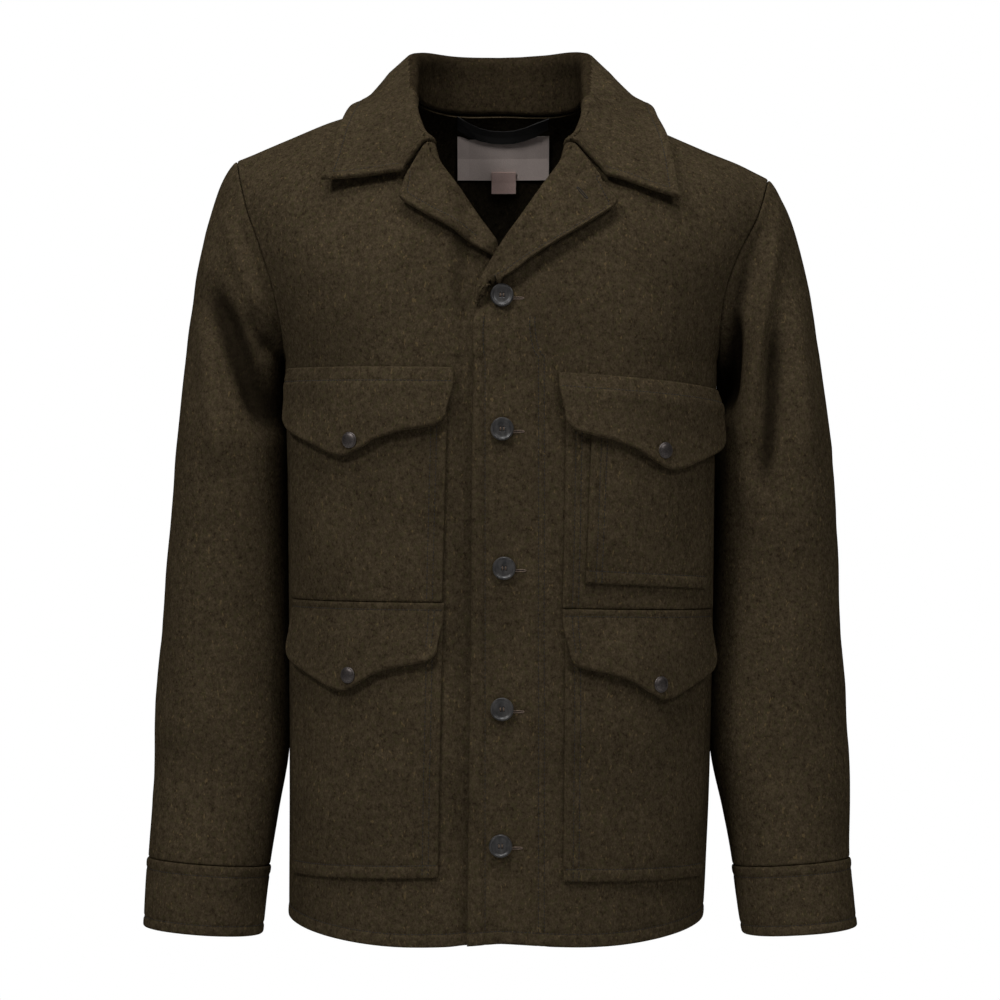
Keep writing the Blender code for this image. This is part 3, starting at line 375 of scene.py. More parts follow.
def spread(total, first, last, step):
    """Distances along a line: its first stops, even steps, then its last stops."""
    count = max(int(round(step)), 2)
    middle = np.linspace(first[-1], total - last[-1], count + 1)[1:-1]
    return np.concatenate([first, middle, total - np.asarray(last)[::-1]])


def fine_grid(grid, normals, across, down):
    """The grid with new columns and rows; across and down are (first stops, last stops, steps)."""
    both = np.concatenate([grid, normals], axis=-1)
    for stage in (across, down):
        both = np.array([through(line, spread(lengths(line[:, :3])[-1], *stage)) for line in both])
        both = both.transpose(1, 0, 2)
    return both[..., :3], unit(both[..., 3:])


def cloud(points, size, seed):
    """Smooth noise from -1 to 1: random values on a square lattice of this size, blended between."""
    cells = np.stack([points[..., 0], points[..., 2]], axis=-1) / size + 7.31 * seed
    whole = np.floor(cells)
    part = cells - whole
    part = part * part * (3 - 2 * part)
    total = 0.0
    for a, b in product((0, 1), repeat=2):
        value = np.sin((whole[..., 0] + a) * 127.1 + (whole[..., 1] + b) * 311.7 + seed * 74.7) * 43758.5453
        weight = (part[..., 0] if a else 1 - part[..., 0]) * (part[..., 1] if b else 1 - part[..., 1])
        total = total + weight * (2 * (value - np.floor(value)) - 1)
    return total


def softness(points):
    """Slow uneven waves of heavy cloth, the same for every layer at a place seen from the front.
    They fade out where a sleeve hangs close beside the body."""
    out = np.abs(points[..., 0])
    beside = smoothstep(out, 0.172, 0.186) * (1 - smoothstep(out, 0.200, 0.216))
    waves = (0.0020 * cloud(points, 0.075, 1) + 0.0008 * cloud(points, 0.034, 2)
             + 0.00015 * cloud(points, 0.014, 3))
    return waves * (1 - beside * smoothstep(-points[..., 2], 0.20, 0.26))


def edge_distances(place, closed=False):
    """Length of cloth from each point to the grid's first and last column and first and last row."""
    steps = np.linalg.norm(np.diff(place, axis=1), axis=-1)
    left = np.concatenate([np.zeros((len(place), 1)), np.cumsum(steps, axis=1)], axis=1)
    steps = np.linalg.norm(np.diff(place, axis=0), axis=-1)
    bottom = np.concatenate([np.zeros((1, place.shape[1])), np.cumsum(steps, axis=0)])
    far = np.full_like(left, 1.0)
    sides = (far, far) if closed else (left, left[:, -1:] - left)
    return {"first_column": sides[0], "last_column": sides[1],
            "first_row": bottom, "last_row": bottom[-1:] - bottom}


# A row of stitches: the edge it follows and how far off, the depth of its groove, the puff of the
# cloth between it and the edge, and the heights between which it runs.
Sewn = namedtuple("Sewn", "edge distance depth puff low high")


def smooth_object(name, points, faces, materials, shares=None):
    """A smooth mesh object that moves with the coat; shares gives each face's material."""
    mesh = bpy.data.meshes.new(name)
    mesh.from_pydata(points, [], faces)
    for material in materials:
        mesh.materials.append(material)
    if shares is not None:
        mesh.polygons.foreach_set("material_index", shares)
    mesh.shade_smooth()
    made = bpy.data.objects.new(name, mesh)
    bpy.context.scene.collection.objects.link(made)
    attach(made, "root")
    return made


# By default a wall's inner faces take the darker inside wool, which is painted shade.
def wall_mesh(name, outer, inner, closed=False, outside=WOOL_OUT, inside=WOOL_IN_PAINTED_SHADE):
    """One closed wall of cloth between an outer and an inner grid, with its rim."""
    rows, columns = outer.shape[:2]
    number = np.arange(rows * columns).reshape(rows, columns)
    if closed:
        number = np.concatenate([number, number[:, :1]], axis=1)
    far = number + rows * columns
    a, b, c, d = number[:-1, :-1], number[:-1, 1:], number[1:, 1:], number[1:, :-1]
    faces = [np.stack([a, b, c, d], -1).reshape(-1, 4)]
    faces.append(np.stack([a, d, c, b], -1).reshape(-1, 4) + rows * columns)
    rims = [(number[0], far[0]), (far[-1], number[-1])]
    if not closed:
        rims += [(far[:, 0], number[:, 0]), (number[:, -1], far[:, -1])]
    for near_line, far_line in rims:
        faces.append(np.stack([near_line[1:], near_line[:-1], far_line[:-1], far_line[1:]], -1))
    sides = np.concatenate([np.full(len(group), k) for k, group in enumerate(faces)])
    return mesh_object(name, np.concatenate([outer.reshape(-1, 3), inner.reshape(-1, 3)]),
                       np.concatenate(faces), [outside, inside], (sides == 1).astype(int))


def mesh_object(name, points, faces, materials, shares=None):
    """A smooth mesh object from arrays of points and four-cornered faces, facing outwards."""
    corners = points[faces]
    volume = np.einsum("ij,ij->", corners[:, 0], np.cross(corners[:, 1], corners[:, 2]))
    volume += np.einsum("ij,ij->", corners[:, 0], np.cross(corners[:, 2], corners[:, 3]))
    if volume < 0:
        faces = faces[:, ::-1]
    return smooth_object(name, points, faces, materials, shares)


def cloth(name, place, normals, thick, free=(), seams=(), sewn=(), closed=False, inside=WOOL_IN_PAINTED_SHADE, wave=1.0,
          extra=0.0):
    """A piece of cloth from its outer face. Free edges are round, seam edges dip, and each sewn
    row is a shallow groove with the cloth puffed up between it and its edge. thick may differ from
    point to point, and extra is a further lift."""
    away = edge_distances(place, closed)
    thick = np.broadcast_to(thick, place.shape[:2])
    soft = wave * softness(place) + extra
    lift = soft.copy()
    for row in sewn:
        d = away[row.edge]
        held = 0.75 + 0.25 * cloud(place, 0.011, 5)
        shape = row.puff * np.sin(np.pi * np.clip(d / row.distance, 0, 1)) ** 0.7
        shape = shape - row.depth * held * np.exp(-(((d - row.distance) / STITCH_GROOVE) ** 2))
        lift = lift + shape * smoothstep(place[..., 2], row.low - 0.004, row.low) * (
            1 - smoothstep(place[..., 2], row.high, row.high + 0.004))
    tuck = np.zeros_like(lift)
    for edge in free:
        half = 0.96 * thick / 2
        d = np.clip(half - away[edge], 0, half)
        tuck = np.maximum(tuck, half - np.sqrt(half**2 - d**2))
    dip = np.zeros_like(lift)
    for edge in seams:
        d = np.clip(SEAM_DIP - away[edge], 0, SEAM_DIP)
        dip = np.maximum(dip, 0.55 * (SEAM_DIP - np.sqrt(SEAM_DIP**2 - d**2)))
    outer = place + normals * (lift - tuck - dip)[..., None]
    inner = place + normals * (soft - thick + tuck)[..., None]
    made = wall_mesh(name, outer, inner, closed, inside=inside)
    return made, outer


def sew(name, lines, pitch=STITCH, width=0.00042, material=THREAD):
    """Rows of stitches: along each line of points, short rounded threads that dip at both ends."""
    points, faces, count = [], [], 0
    along = np.array([-0.40, -0.26, 0.26, 0.40]) * pitch
    size = np.array([0.35, 1.0, 1.0, 0.35]) * width
    drop = np.array([-0.00028, 0.0, 0.0, -0.00028])
    turn = 2 * np.pi * np.arange(5) / 5
    for line, normals in lines:
        total = lengths(line)[-1]
        middle = (np.arange(int(total / pitch)) + 0.5) * pitch
        centre = points_at(line, middle)
        way = unit(points_at(line, middle + 0.0012) - points_at(line, middle - 0.0012))
        up = unit(np.stack([np.interp(middle, lengths(line), normals[:, k]) for k in range(3)], axis=-1))
        aside = np.cross(way, up)
        ring = (size[:, None, None] * (np.cos(turn)[:, None] * aside[:, None, None, :]
                                       + 0.8 * np.sin(turn)[:, None] * up[:, None, None, :]))
        base = centre[:, None] + along[:, None] * way[:, None] + (drop[:, None] + 0.00005) * up[:, None]
        ring = ring + base[:, :, None, :]
        number = count + np.arange(len(centre) * 20).reshape(-1, 4, 5)
        after = np.roll(number, -1, axis=2)
        wall = np.stack([number[:, :-1], after[:, :-1], after[:, 1:], number[:, 1:]], -1)
        faces.append(wall.reshape(-1, 4))
        for end in (0, 3):
            cap = number[:, end] if end else number[:, end, ::-1]
            faces.append(cap[:, [0, 1, 2, 3]])
            faces.append(cap[:, [0, 3, 4, 4]])
        points.append(ring.reshape(-1, 3))
        count += len(centre) * 20
    corners = np.concatenate(faces)
    tidy = [tuple(dict.fromkeys(face)) for face in corners.tolist()]
    made = smooth_object(name, np.concatenate(points), tidy, [material])
    return made


# The fronts and the back: three panels of one layer. The wearer's left front laps over the right
# and is faced along its edge; the panels meet at the shoulder and side seams.

HEM_Z = -0.739
UNDERARM_Z = -0.245
NECK_HALF = 0.0775        # half the neck's width at the shoulder seam
ROUND_FRONT = 2.4         # exponent of the superellipse that the body's front follows
ROUND_BACK = 2.5
BodyRow = namedtuple("BodyRow", "z half_right half_left front back")
BODY = [
    BodyRow(-0.739, 0.1890, 0.1815, 0.146, 0.130),
    BodyRow(-0.640, 0.1885, 0.1865, 0.143, 0.123),
    BodyRow(-0.480, 0.1890, 0.1905, 0.139, 0.118),
    BodyRow(-0.340, 0.1905, 0.1925, 0.141, 0.127),
    BodyRow(-0.245, 0.1925, 0.1945, 0.141, 0.130),
]
Armhole = namedtuple("Armhole", "share right left")
ARMHOLE = [
    Armhole(0.00, 0.1925, 0.1945),
    Armhole(0.15, 0.1930, 0.1945),
    Armhole(0.30, 0.1975, 0.1975),
    Armhole(0.50, 0.2090, 0.2085),
    Armhole(0.75, 0.2255, 0.2275),
    Armhole(1.00, 0.2360, 0.2410),
]
ARMHOLE_REACH_FRONT = 0.50    # how far round the body's depth the armhole seam comes
ARMHOLE_REACH_BACK = 0.50
ARMHOLE_CURVE_SHARE = 0.50    # the underarm curve ends at this share of the armhole's height
Opening = namedtuple("Opening", "z half")
OPENING = [
    Opening(-0.2600, -0.0228),
    Opening(-0.2066, -0.0208),
    Opening(-0.1540, 0.0055),
    Opening(-0.1080, 0.0370),
    Opening(-0.0640, 0.0655),
    Opening(-0.0350, 0.0745),
    Opening(0.0200, 0.0780),
]
Placket = namedtuple("Placket", "z edge")
PLACKET = [Placket(-0.739, -0.0278), Placket(-0.420, -0.0245), Placket(-0.300, -0.0236),
           Placket(-0.2066, -0.0212)]        # the over front's edge, past the centre line
UNDER_EDGE = 0.0300           # the under front's edge, beneath the over front
UNDER_DROP = 0.0054           # how far the under front lies in beneath it
UNDER_LAPEL_DROP = 0.0060     # and how much further where its lapel lies on it
UNDER_STEP = (-0.0450, -0.0270)
SLOPE = {RIGHT: 0.380, LEFT: 0.440}
RIDGE_TOP = 0.0285
RIDGE_ROUND = 0.040
RIDGE_Y = -0.006
UPPER_ROWS = 54
HEM_STITCH = 0.0108
PLACKET_STITCH = -0.0126      # from the centre line
FACING_STITCHES = (0.0325, 0.0375)
LOWER_ROWS = np.concatenate([HEM_Z + stops([HEM_STITCH]),
                             np.arange(HEM_Z + 0.017, UNDERARM_Z - 0.002, 0.0034), [UNDERARM_Z]])
FRONT_COLUMNS = np.unique(np.round(np.concatenate([
    [PLACKET_STITCH + d for d in (-0.0022, -0.0011, 0.0, 0.0011, 0.0022)], np.arange(-0.006, 0.0295, 0.0034),
    [0.0303, 0.0314, 0.0325, 0.0336, 0.0350, 0.0364, 0.0375, 0.0386, 0.0397],
    np.arange(0.0430, 0.247, 0.0036)]), 5))
BACK_COLUMNS = np.arange(0.0046, 0.236, 0.0046)


def ridge_z(x):
    """Height of the shoulder line: a rounded roof that falls away to each side."""
    slope = (SLOPE[LEFT] + SLOPE[RIGHT]) / 2 + (SLOPE[LEFT] - SLOPE[RIGHT]) / 2 * np.tanh(x / 0.05)
    return RIDGE_TOP - slope * np.sqrt(x * x + RIDGE_ROUND**2)


def ridge_normal(x):
    """Upward normal of the shoulder line at a distance from the centre."""
    slope = (ridge_z(x + 0.001) - ridge_z(x - 0.001)) / 0.002
    return unit(np.stack([-slope, 0 * slope, 1 + 0 * slope], axis=-1))


def half_width(side, z):
    return read(BODY, "z", "half_" + side_name(side), z)


def armhole_x(side, share):
    return read(ARMHOLE, "share", side_name(side), share)


def body_rows():
    """Row numbers from hem to shoulder: heights up to the underarm, then 1 + the share above it.

    The shares crowd at both ends, where the armhole and the shoulder turn over."""
    shares = 0.5 - 0.5 * np.cos(np.linspace(0, np.pi, UPPER_ROWS + 1))[1:]
    return np.concatenate([LOWER_ROWS, 1 + shares])


def body_line(face, side, row, xs):
    """Points of one row of the body's outer face, at these distances from the centre.

    face is -1 for the front and 1 for the back. Each row is a superellipse; above the underarm
    its depth shrinks to nothing at the shoulder line along an ellipse."""
    share = max(0.0, row - 1) if row > 0 else 0.0
    level = row if row <= 0 else UNDERARM_Z
    depth = read(BODY, "z", "front" if face < 0 else "back", level)
    power = ROUND_FRONT if face < 0 else ROUND_BACK
    fall = 1.9 if face < 0 else 3.0
    depth = depth * (1 - share**fall) ** (1 / fall)
    if row > 0:
        reach = ARMHOLE_REACH_FRONT if face < 0 else ARMHOLE_REACH_BACK
        along = min(share / ARMHOLE_CURVE_SHARE, 1.0)
        reach = reach * np.sqrt(1 - (1 - along) ** 2)
        half = armhole_x(side, share) / (1 - reach**power) ** (1 / power)
    else:
        half = half_width(side, level)
    across = np.abs(xs) / half
    y = RIDGE_Y * share + face * depth * (1 - np.minimum(across, 1.0) ** power) ** (1 / power)
    z = np.full_like(xs, level) + share * (ridge_z(xs) - UNDERARM_Z)
    return np.stack([xs, y, z], axis=-1)


def row_end(side, row):
    """Distance from the centre at which a row ends: the side seam or the armhole seam."""
    return side * (armhole_x(side, row - 1) if row > 0 else half_width(side, row))


def dense_row(face, side, row, start):
    """A row as a fine line from start to its end, packed closer where the body turns away."""
    t = np.sin(np.linspace(0, np.pi / 2, 1500))
    return body_line(face, side, row, start + (row_end(side, row) - start) * t)


def opening_x(side, row):
    """Where the neck opening cuts a row above the underarm, found by a few repeats."""
    x = 0.05
    share = row - 1
    for _ in range(12):
        z = UNDERARM_Z + share * (ridge_z(side * abs(x)) - UNDERARM_Z)
        x = 0.5 * x + 0.5 * float(read(OPENING, "z", "half", z))
    return side * x


def body_grid(face, side, columns, start_of, first):
    """Grid of points on a body panel, from its inner edge to the side seam and armhole.

    Up to the underarm the inner columns keep the same length from the centre line on every row.
    Above it each row shares out its own length in the underarm row's proportions."""
    grid = []
    last = SEAM_STOPS[-1]
    for row in body_rows():
        start = start_of(row)
        line = dense_row(face, side, row, start)
        total = lengths(line)[-1]
        room = total - last - first[-1]
        if row <= 0:
            inner = np.clip(columns - side * start, first[-1] + 0.0005, total - last - 0.001)
            shares = (inner - first[-1]) / room
        distances = np.concatenate([first, first[-1] + shares * room, total - np.array(SEAM_STOPS)[::-1]])
        grid.append(points_at(line, distances))
    return np.array(grid)


def front_start(side):
    """The inner edge of a front: straight up to the break, then round the neck opening."""
    def start(row):
        if row <= 0:
            return float(read(PLACKET, "z", "edge", row)) if side == LEFT else UNDER_EDGE
        x = opening_x(side, row)
        return x if side == LEFT else min(x, UNDER_EDGE)
    return start


def under_drop(x, z):
    """How far the under front lies in from the body's outer face, at places seen from the front."""
    drop = UNDER_DROP + UNDER_LAPEL_DROP * smoothstep(z, -0.240, -0.200)
    return drop * smoothstep(x, *UNDER_STEP)


def front_grid(side):
    """Outer face of a front. The under front steps in beneath the over front."""
    columns = FRONT_COLUMNS if side == LEFT else FRONT_COLUMNS[FRONT_COLUMNS > 0.0]
    if side == RIGHT:
        columns = np.concatenate([np.arange(-0.024, 0.0, 0.004), columns])
    grid = body_grid(-1, side, columns, front_start(side), np.array(EDGE_STOPS))
    if side == RIGHT:
        grid[..., 1] += under_drop(grid[..., 0], grid[..., 2])
    return grid


def back_start(row):
    """The back's rows start on the centre line, as the whole back is one piece."""
    return 0.0


def back_grid():
    """Outer face of the back, from the wearer's right side seam to the left one."""
    halves = [body_grid(1, side, BACK_COLUMNS, back_start, np.array([0.0])) for side in (RIGHT, LEFT)]
    return np.concatenate([halves[0][:, ::-1], halves[1][:, 1:]], axis=1)


BACK_NECK_SHARE = 0.920       # the centre of the back neck, as a share of the armhole's height


def cut_back_neck(grid):
    """Bends the top rows of the back down round the neck, to a neck seam and two shoulder seams."""
    rows = body_rows()
    top = rows[-1] - 1
    shaped = grid.copy()
    count = len(rows)
    first = len(LOWER_ROWS) - 1
    for i in range(first, count):
        share = rows[i] - 1 if rows[i] > 0 else 0.0
        for j in range(grid.shape[1]):
            x = grid[i, j, 0]
            limit = neck_share_at(x)
            squeezed = share * (1 - (1 - limit / top) * smoothstep(share, 0.0, 1.0))
            side = LEFT if x >= 0 else RIGHT
            shaped[i, j] = body_line(1, side, 1 + squeezed, np.array([x]))[0]
    return shaped


def neck_share_at(x):
    """Share of the height at which the back ends: 1 outside the neck, lower across it."""
    across = min(abs(x) / NECK_HALF, 1.0)
    return 1 - (1 - BACK_NECK_SHARE) * (1 - across**2.2)


# Folds: each a soft ridge or valley from one point to another, as seen from the front or the back,
# with its height (less than nothing for a valley) and its half width.
Fold = namedtuple("Fold", "piece x0 z0 x1 z1 height reach")
FOLD_DEPTH = 1.5              # the folds' heights are multiplied by this
FOLDS = [
    Fold("sleeve_right", 0.2282, -0.1188, 0.1970, -0.2015, -0.0050, 0.0070),
    Fold("sleeve_right", 0.2404, -0.1144, 0.2040, -0.2150, 0.0042, 0.0085),
    Fold("sleeve_right", 0.2200, -0.2000, 0.1980, -0.2390, -0.0040, 0.0080),
    Fold("sleeve_right", 0.2540, -0.1800, 0.2000, -0.3030, -0.0085, 0.0130),
    Fold("sleeve_right", 0.2580, -0.2200, 0.2435, -0.3400, 0.0042, 0.0100),
    Fold("sleeve_left", 0.2340, -0.1000, 0.2040, -0.2050, -0.0060, 0.0080),
    Fold("sleeve_left", 0.2440, -0.1066, 0.2170, -0.3150, 0.0050, 0.0090),
    Fold("sleeve_left", 0.2420, -0.2059, 0.2290, -0.3548, -0.0060, 0.0095),
    Fold("sleeve_left", 0.2600, -0.1919, 0.2680, -0.3313, 0.0030, 0.0100),
    Fold("sleeve_left", 0.2040, -0.2000, 0.1980, -0.2900, -0.0070, 0.0080),
    Fold("sleeve_right_back", 0.250, -0.100, 0.205, -0.240, -0.0060, 0.0120),
    Fold("sleeve_right_back", 0.275, -0.190, 0.215, -0.310, -0.0060, 0.0140),
    Fold("sleeve_left_back", 0.252, -0.095, 0.208, -0.235, -0.0055, 0.0120),
    Fold("sleeve_left_back", 0.277, -0.200, 0.220, -0.325, -0.0065, 0.0140),
]


def fold_push(piece, points, front_share):
    """How far the folds of a piece push each of its points out along the normal."""
    push = np.zeros(points.shape[:-1])
    for fold in FOLDS:
        if fold.piece not in (piece, piece + "_back"):
            continue
        side = LEFT if "left" in fold.piece else RIGHT
        a = np.array([side * fold.x0, fold.z0])
        b = np.array([side * fold.x1, fold.z1])
        flat = points[..., [0, 2]] - a
        along = (flat @ (b - a)) / ((b - a) @ (b - a))
        off = np.linalg.norm(flat - np.clip(along, 0, 1)[..., None] * (b - a), axis=-1)
        ends = smoothstep(along, -0.15, 0.25) * (1 - smoothstep(along, 0.75, 1.15))
        facing = front_share if fold.piece == piece else 1 - front_share
        ridge = FOLD_DEPTH * fold.height * np.exp(-((off / fold.reach) ** 2))
        push += ridge * ends * smoothstep(facing, 0.35, 0.7)
    return push


FAN_END_Z = -0.320        # below this the sleeve's rings lie level
CUFF_SEAM_Z = -0.6875
CUFF_END_Z = -0.7480
SLEEVE_ROUND = 2.15
SleeveRow = namedtuple("SleeveRow", "z outer_right outer_left inner_right inner_left centre_y half_depth")
SLEEVE = [
    SleeveRow(-0.3200, 0.2900, 0.2965, 0.1912, 0.1932, 0.004, 0.0760),
    SleeveRow(-0.4400, 0.3015, 0.3045, 0.1900, 0.1916, 0.002, 0.0700),
    SleeveRow(-0.5220, 0.3064, 0.3084, 0.1893, 0.1901, -0.004, 0.0655),
    SleeveRow(-0.5900, 0.3080, 0.3098, 0.1890, 0.1885, -0.012, 0.0615),
    SleeveRow(-0.6400, 0.3092, 0.3098, 0.1975, 0.1990, -0.018, 0.0585),
    SleeveRow(-0.6875, 0.3108, 0.3100, 0.2048, 0.2078, -0.024, 0.0560),
    SleeveRow(-0.7480, 0.3148, 0.3150, 0.2125, 0.2160, -0.028, 0.0545),
]
CUFF_TILT = 0.075             # the outer side of a cuff rides higher than the inner side
CUFF_PITCH = 0.070            # and its front rides higher than its back
FAN_ROWS = 46


def sleeve_ring(side, z, angles):
    """One level ring of a sleeve: a superellipse from its inner side to its outer side."""
    outer = read(SLEEVE[::-1], "z", "outer_" + side_name(side), z)
    inner = read(SLEEVE[::-1], "z", "inner_" + side_name(side), z)
    centre_y = read(SLEEVE[::-1], "z", "centre_y", z)
    depth = read(SLEEVE[::-1], "z", "half_depth", z)
    c, s = np.cos(angles), np.sin(angles)
    across = np.sign(c) * np.abs(c) ** (2 / SLEEVE_ROUND)
    deep = np.sign(s) * np.abs(s) ** (2 / SLEEVE_ROUND)
    turn = smoothstep(-z, 0.50, 0.68)
    half = (outer - inner) / 2
    x = (outer + inner) / 2 + half * across
    rise = turn * (CUFF_TILT * half * across + CUFF_PITCH * depth * deep)
    return np.stack([side * x, centre_y - depth * deep, z + rise], axis=-1)


def armhole_loop(grids, side):
    """Armhole seam points and the cloth's direction there, from the tip forward and round."""
    first = len(LOWER_ROWS) - 1
    front, back = grids["front_" + side_name(side)], grids["back"]
    if side == RIGHT:
        back = back[:, ::-1]
    front_edge, front_in = front[first:, -1], front[first:, -2]
    back_edge, back_in = back[first:, -1], back[first:, -2]
    edge = np.concatenate([front_edge[::-1], back_edge[1:-1]])
    way = np.concatenate([unit(front_edge - front_in)[::-1], unit(back_edge - back_in)[1:-1]])
    way[0] = unit(way[0] + unit(back_edge[-1] - back_in[-1]))
    way[UPPER_ROWS] = unit(way[UPPER_ROWS - 1] + way[UPPER_ROWS + 1])
    return edge, way


# Painted shade: how dark the bottoms of a sleeve's folds are drawn, for each of its points, filled in by
# sleeve_grid.
valley_shade = {}


def sleeve_grid(grids, side):
    """Outer face of a sleeve: it fans out from the armhole seam, then runs down in level rings.

    Each column leaves the armhole along the cloth and bends into the first level ring."""
    edge, way = armhole_loop(grids, side)
    count = len(edge)
    angles = 2 * np.pi * np.arange(count) / count
    ring = sleeve_ring(side, FAN_END_Z, angles)
    outward = (1 + np.cos(angles)) / 2
    leave = unit(0.75 * way + np.array([side * 0.30, -0.05, -0.62]))
    start = edge + SLEEVE_SEAM * way
    first_pull = leave * (0.030 + 0.095 * outward)[:, None]
    last_way = np.stack([side * 0.095 * outward, 0 * outward, 0 * outward - 1.0], axis=-1)
    last_pull = last_way * (0.050 + 0.200 * outward)[:, None]
    rows = []
    for t in np.concatenate([[0.0, 0.004, 0.010], np.linspace(0, 1, FAN_ROWS + 1)[1:]]):
        rows.append((2 * t**3 - 3 * t**2 + 1) * start + (t**3 - 2 * t**2 + t) * first_pull
                    + (3 * t**2 - 2 * t**3) * ring + (t**3 - t**2) * last_pull)
    for z in np.concatenate([np.arange(FAN_END_Z - 0.0045, CUFF_SEAM_Z + 0.004, -0.0045),
                             CUFF_SEAM_Z + np.array(SEAM_STOPS)[::-1]]):
        rows.append(sleeve_ring(side, z, angles))
    grid = np.array(rows)
    normals = sleeve_normals(grid, side)
    front_share = np.broadcast_to((1 + np.sin(angles)) / 2, grid.shape[:2])
    push = fold_push("sleeve_" + side_name(side), grid, front_share)
    push *= smoothstep(np.arange(len(grid)), 2.0, 16.0)[:, None]
    valley_shade[side] = 0.80 * smoothstep(-push, 0.0006, 0.0085)
    return grid + normals * push[..., None]


def sleeve_normals(grid, side):
    """Normals of a sleeve's grid that point out of the sleeve."""
    return side * normals_of(grid, closed=True)


def share_seam_normals(grids, normals):
    """Gives pieces that meet the same normals along their seam, so both walls end on one face."""
    first = len(LOWER_ROWS) - 1
    for name in ("front_right", "front_left", "back"):
        x = grids[name][-1, :, 0]
        shoulder = np.abs(x) > NECK_HALF - 0.001
        normals[name][-1, shoulder] = ridge_normal(x[shoulder])
    for side in (RIGHT, LEFT):
        front, sleeve = normals["front_" + side_name(side)], normals["sleeve_" + side_name(side)]
        back = normals["back"] if side == LEFT else normals["back"][:, ::-1]
        flank = unit(front[:first, -1] + back[:first, -1])
        front[:first, -1] = back[:first, -1] = flank
        round_front = unit(front[first:, -1] + sleeve[:1, :UPPER_ROWS + 1][0][::-1])
        round_back = unit(back[first:, -1] + np.concatenate([sleeve[0, UPPER_ROWS:], sleeve[0, :1]]))
        for end, index in ((-1, 0), (0, UPPER_ROWS)):
            row = first if end == 0 else -1
            meet = unit(unit(front[row, -1] + back[row, -1]) + sleeve[0, index])
            round_front[end] = round_back[end] = meet
        front[first:, -1], back[first:, -1] = round_front, round_back
        sleeve[0, :UPPER_ROWS + 1] = round_front[::-1]
        sleeve[0, UPPER_ROWS:] = round_back[:-1]


def shell_normals(name, grid):
    """Normals of a shell piece that point out of the coat."""
    if name.startswith("sleeve"):
        return sleeve_normals(grid, LEFT if name.endswith("left") else RIGHT)
    if name == "back":
        return -normals_of(grid)
    return normals_of(grid) * (1 if name.endswith("left") else -1)


def trim_seams(grid, gap, both=False):
    """The panel with its top row and its last column moved in by half a seam's gap."""
    moved = grid.copy()
    moved[-1] += gap / 2 * unit(grid[-4] - grid[-1])
    moved[:, -1] += gap / 2 * unit(grid[:, -4] - grid[:, -1])
    if both:
        moved[:, 0] += gap / 2 * unit(grid[:, 3] - grid[:, 0])
    return moved


def hem_dip(grid):
    """The hem hangs a little lower at the middle of each front than at the side seams."""
    moved = grid.copy()
    across = np.clip(np.abs(grid[..., 0]) / 0.19, 0, 1)
    dip = -0.0015 - 0.0045 * np.sin(np.pi * across) ** 1.2 + 0.0050 * across**4
    moved[..., 2] += dip * smoothstep(-grid[..., 2], 0.640, 0.739)
    return moved


grids = {"front_" + side_name(s): front_grid(s) for s in (RIGHT, LEFT)}
grids["back"] = cut_back_neck(back_grid())
for side in (RIGHT, LEFT):
    grids["sleeve_" + side_name(side)] = sleeve_grid(grids, side)
normals = {name: shell_normals(name, grid) for name, grid in grids.items()}
share_seam_normals(grids, normals)

HEM_ROW = Sewn("first_row", HEM_STITCH, 0.0008, 0.0006, -1.0, 1.0)
BREAK_Z = -0.206          # the lapels turn over above this


def placket_shape(place):
    """Lift and thickness of the over front: its doubled edge is puffed and stands off the under
    front, and three rows of stitches press into it."""
    x, z = place[..., 0], place[..., 2]
    edge = read(PLACKET, "z", "edge", z)
    share = np.clip((x - edge) / (PLACKET_STITCH - edge), 0, 1)
    below = 1 - smoothstep(z, BREAK_Z - 0.012, BREAK_Z + 0.004)
    lift = 0.0011 * np.sin(np.pi * share) ** 0.7 + 0.0024 * (1 - smoothstep(x - edge, 0.0, 0.030))
    for row, deep in ((PLACKET_STITCH, 0.0011), (FACING_STITCHES[0], 0.0009), (FACING_STITCHES[1], 0.0009)):
        lift = lift - deep * np.exp(-(((x - row) / 0.0015) ** 2))
    doubled = 1 - smoothstep(x - FACING_STITCHES[1], 0.0, 0.004)
    return lift * below, CLOTH + (DOUBLE - CLOTH) * doubled * below


outers = {}
for name in ("front_right", "front_left", "back"):
    grid = hem_dip(trim_seams(grids[name], SEAM, both=name == "back"))
    edges = ("first_row",) if name == "back" else ("first_row", "first_column")
    joins = ("last_column", "last_row", "first_column") if name == "back" else ("last_column", "last_row")
    sewn = [HEM_ROW]
    extra, thick = placket_shape(grid) if name == "front_left" else (0.0, CLOTH)
    made, outers[name] = cloth(name + "_cloth", grid, normals[name], thick, edges, joins, sewn, extra=extra)
    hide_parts(name)

# The sleeves: heavy wool in one layer, each a tube set into the armhole, with the folds of a
# relaxed arm. The cloth is darkened at the bottom of the deep folds, where little light comes.
for side in (RIGHT, LEFT):
    name = "sleeve_" + side_name(side)
    made, outers[name] = cloth(name + "_cloth", grids[name], normals[name], CLOTH, (),
                               ("first_row", "last_row"), (), closed=True)
    shade = made.data.attributes.new("shade", "FLOAT", "POINT")
    shade.data.foreach_set("value", np.tile(valley_shade[side].ravel(), 2))
    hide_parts(name)

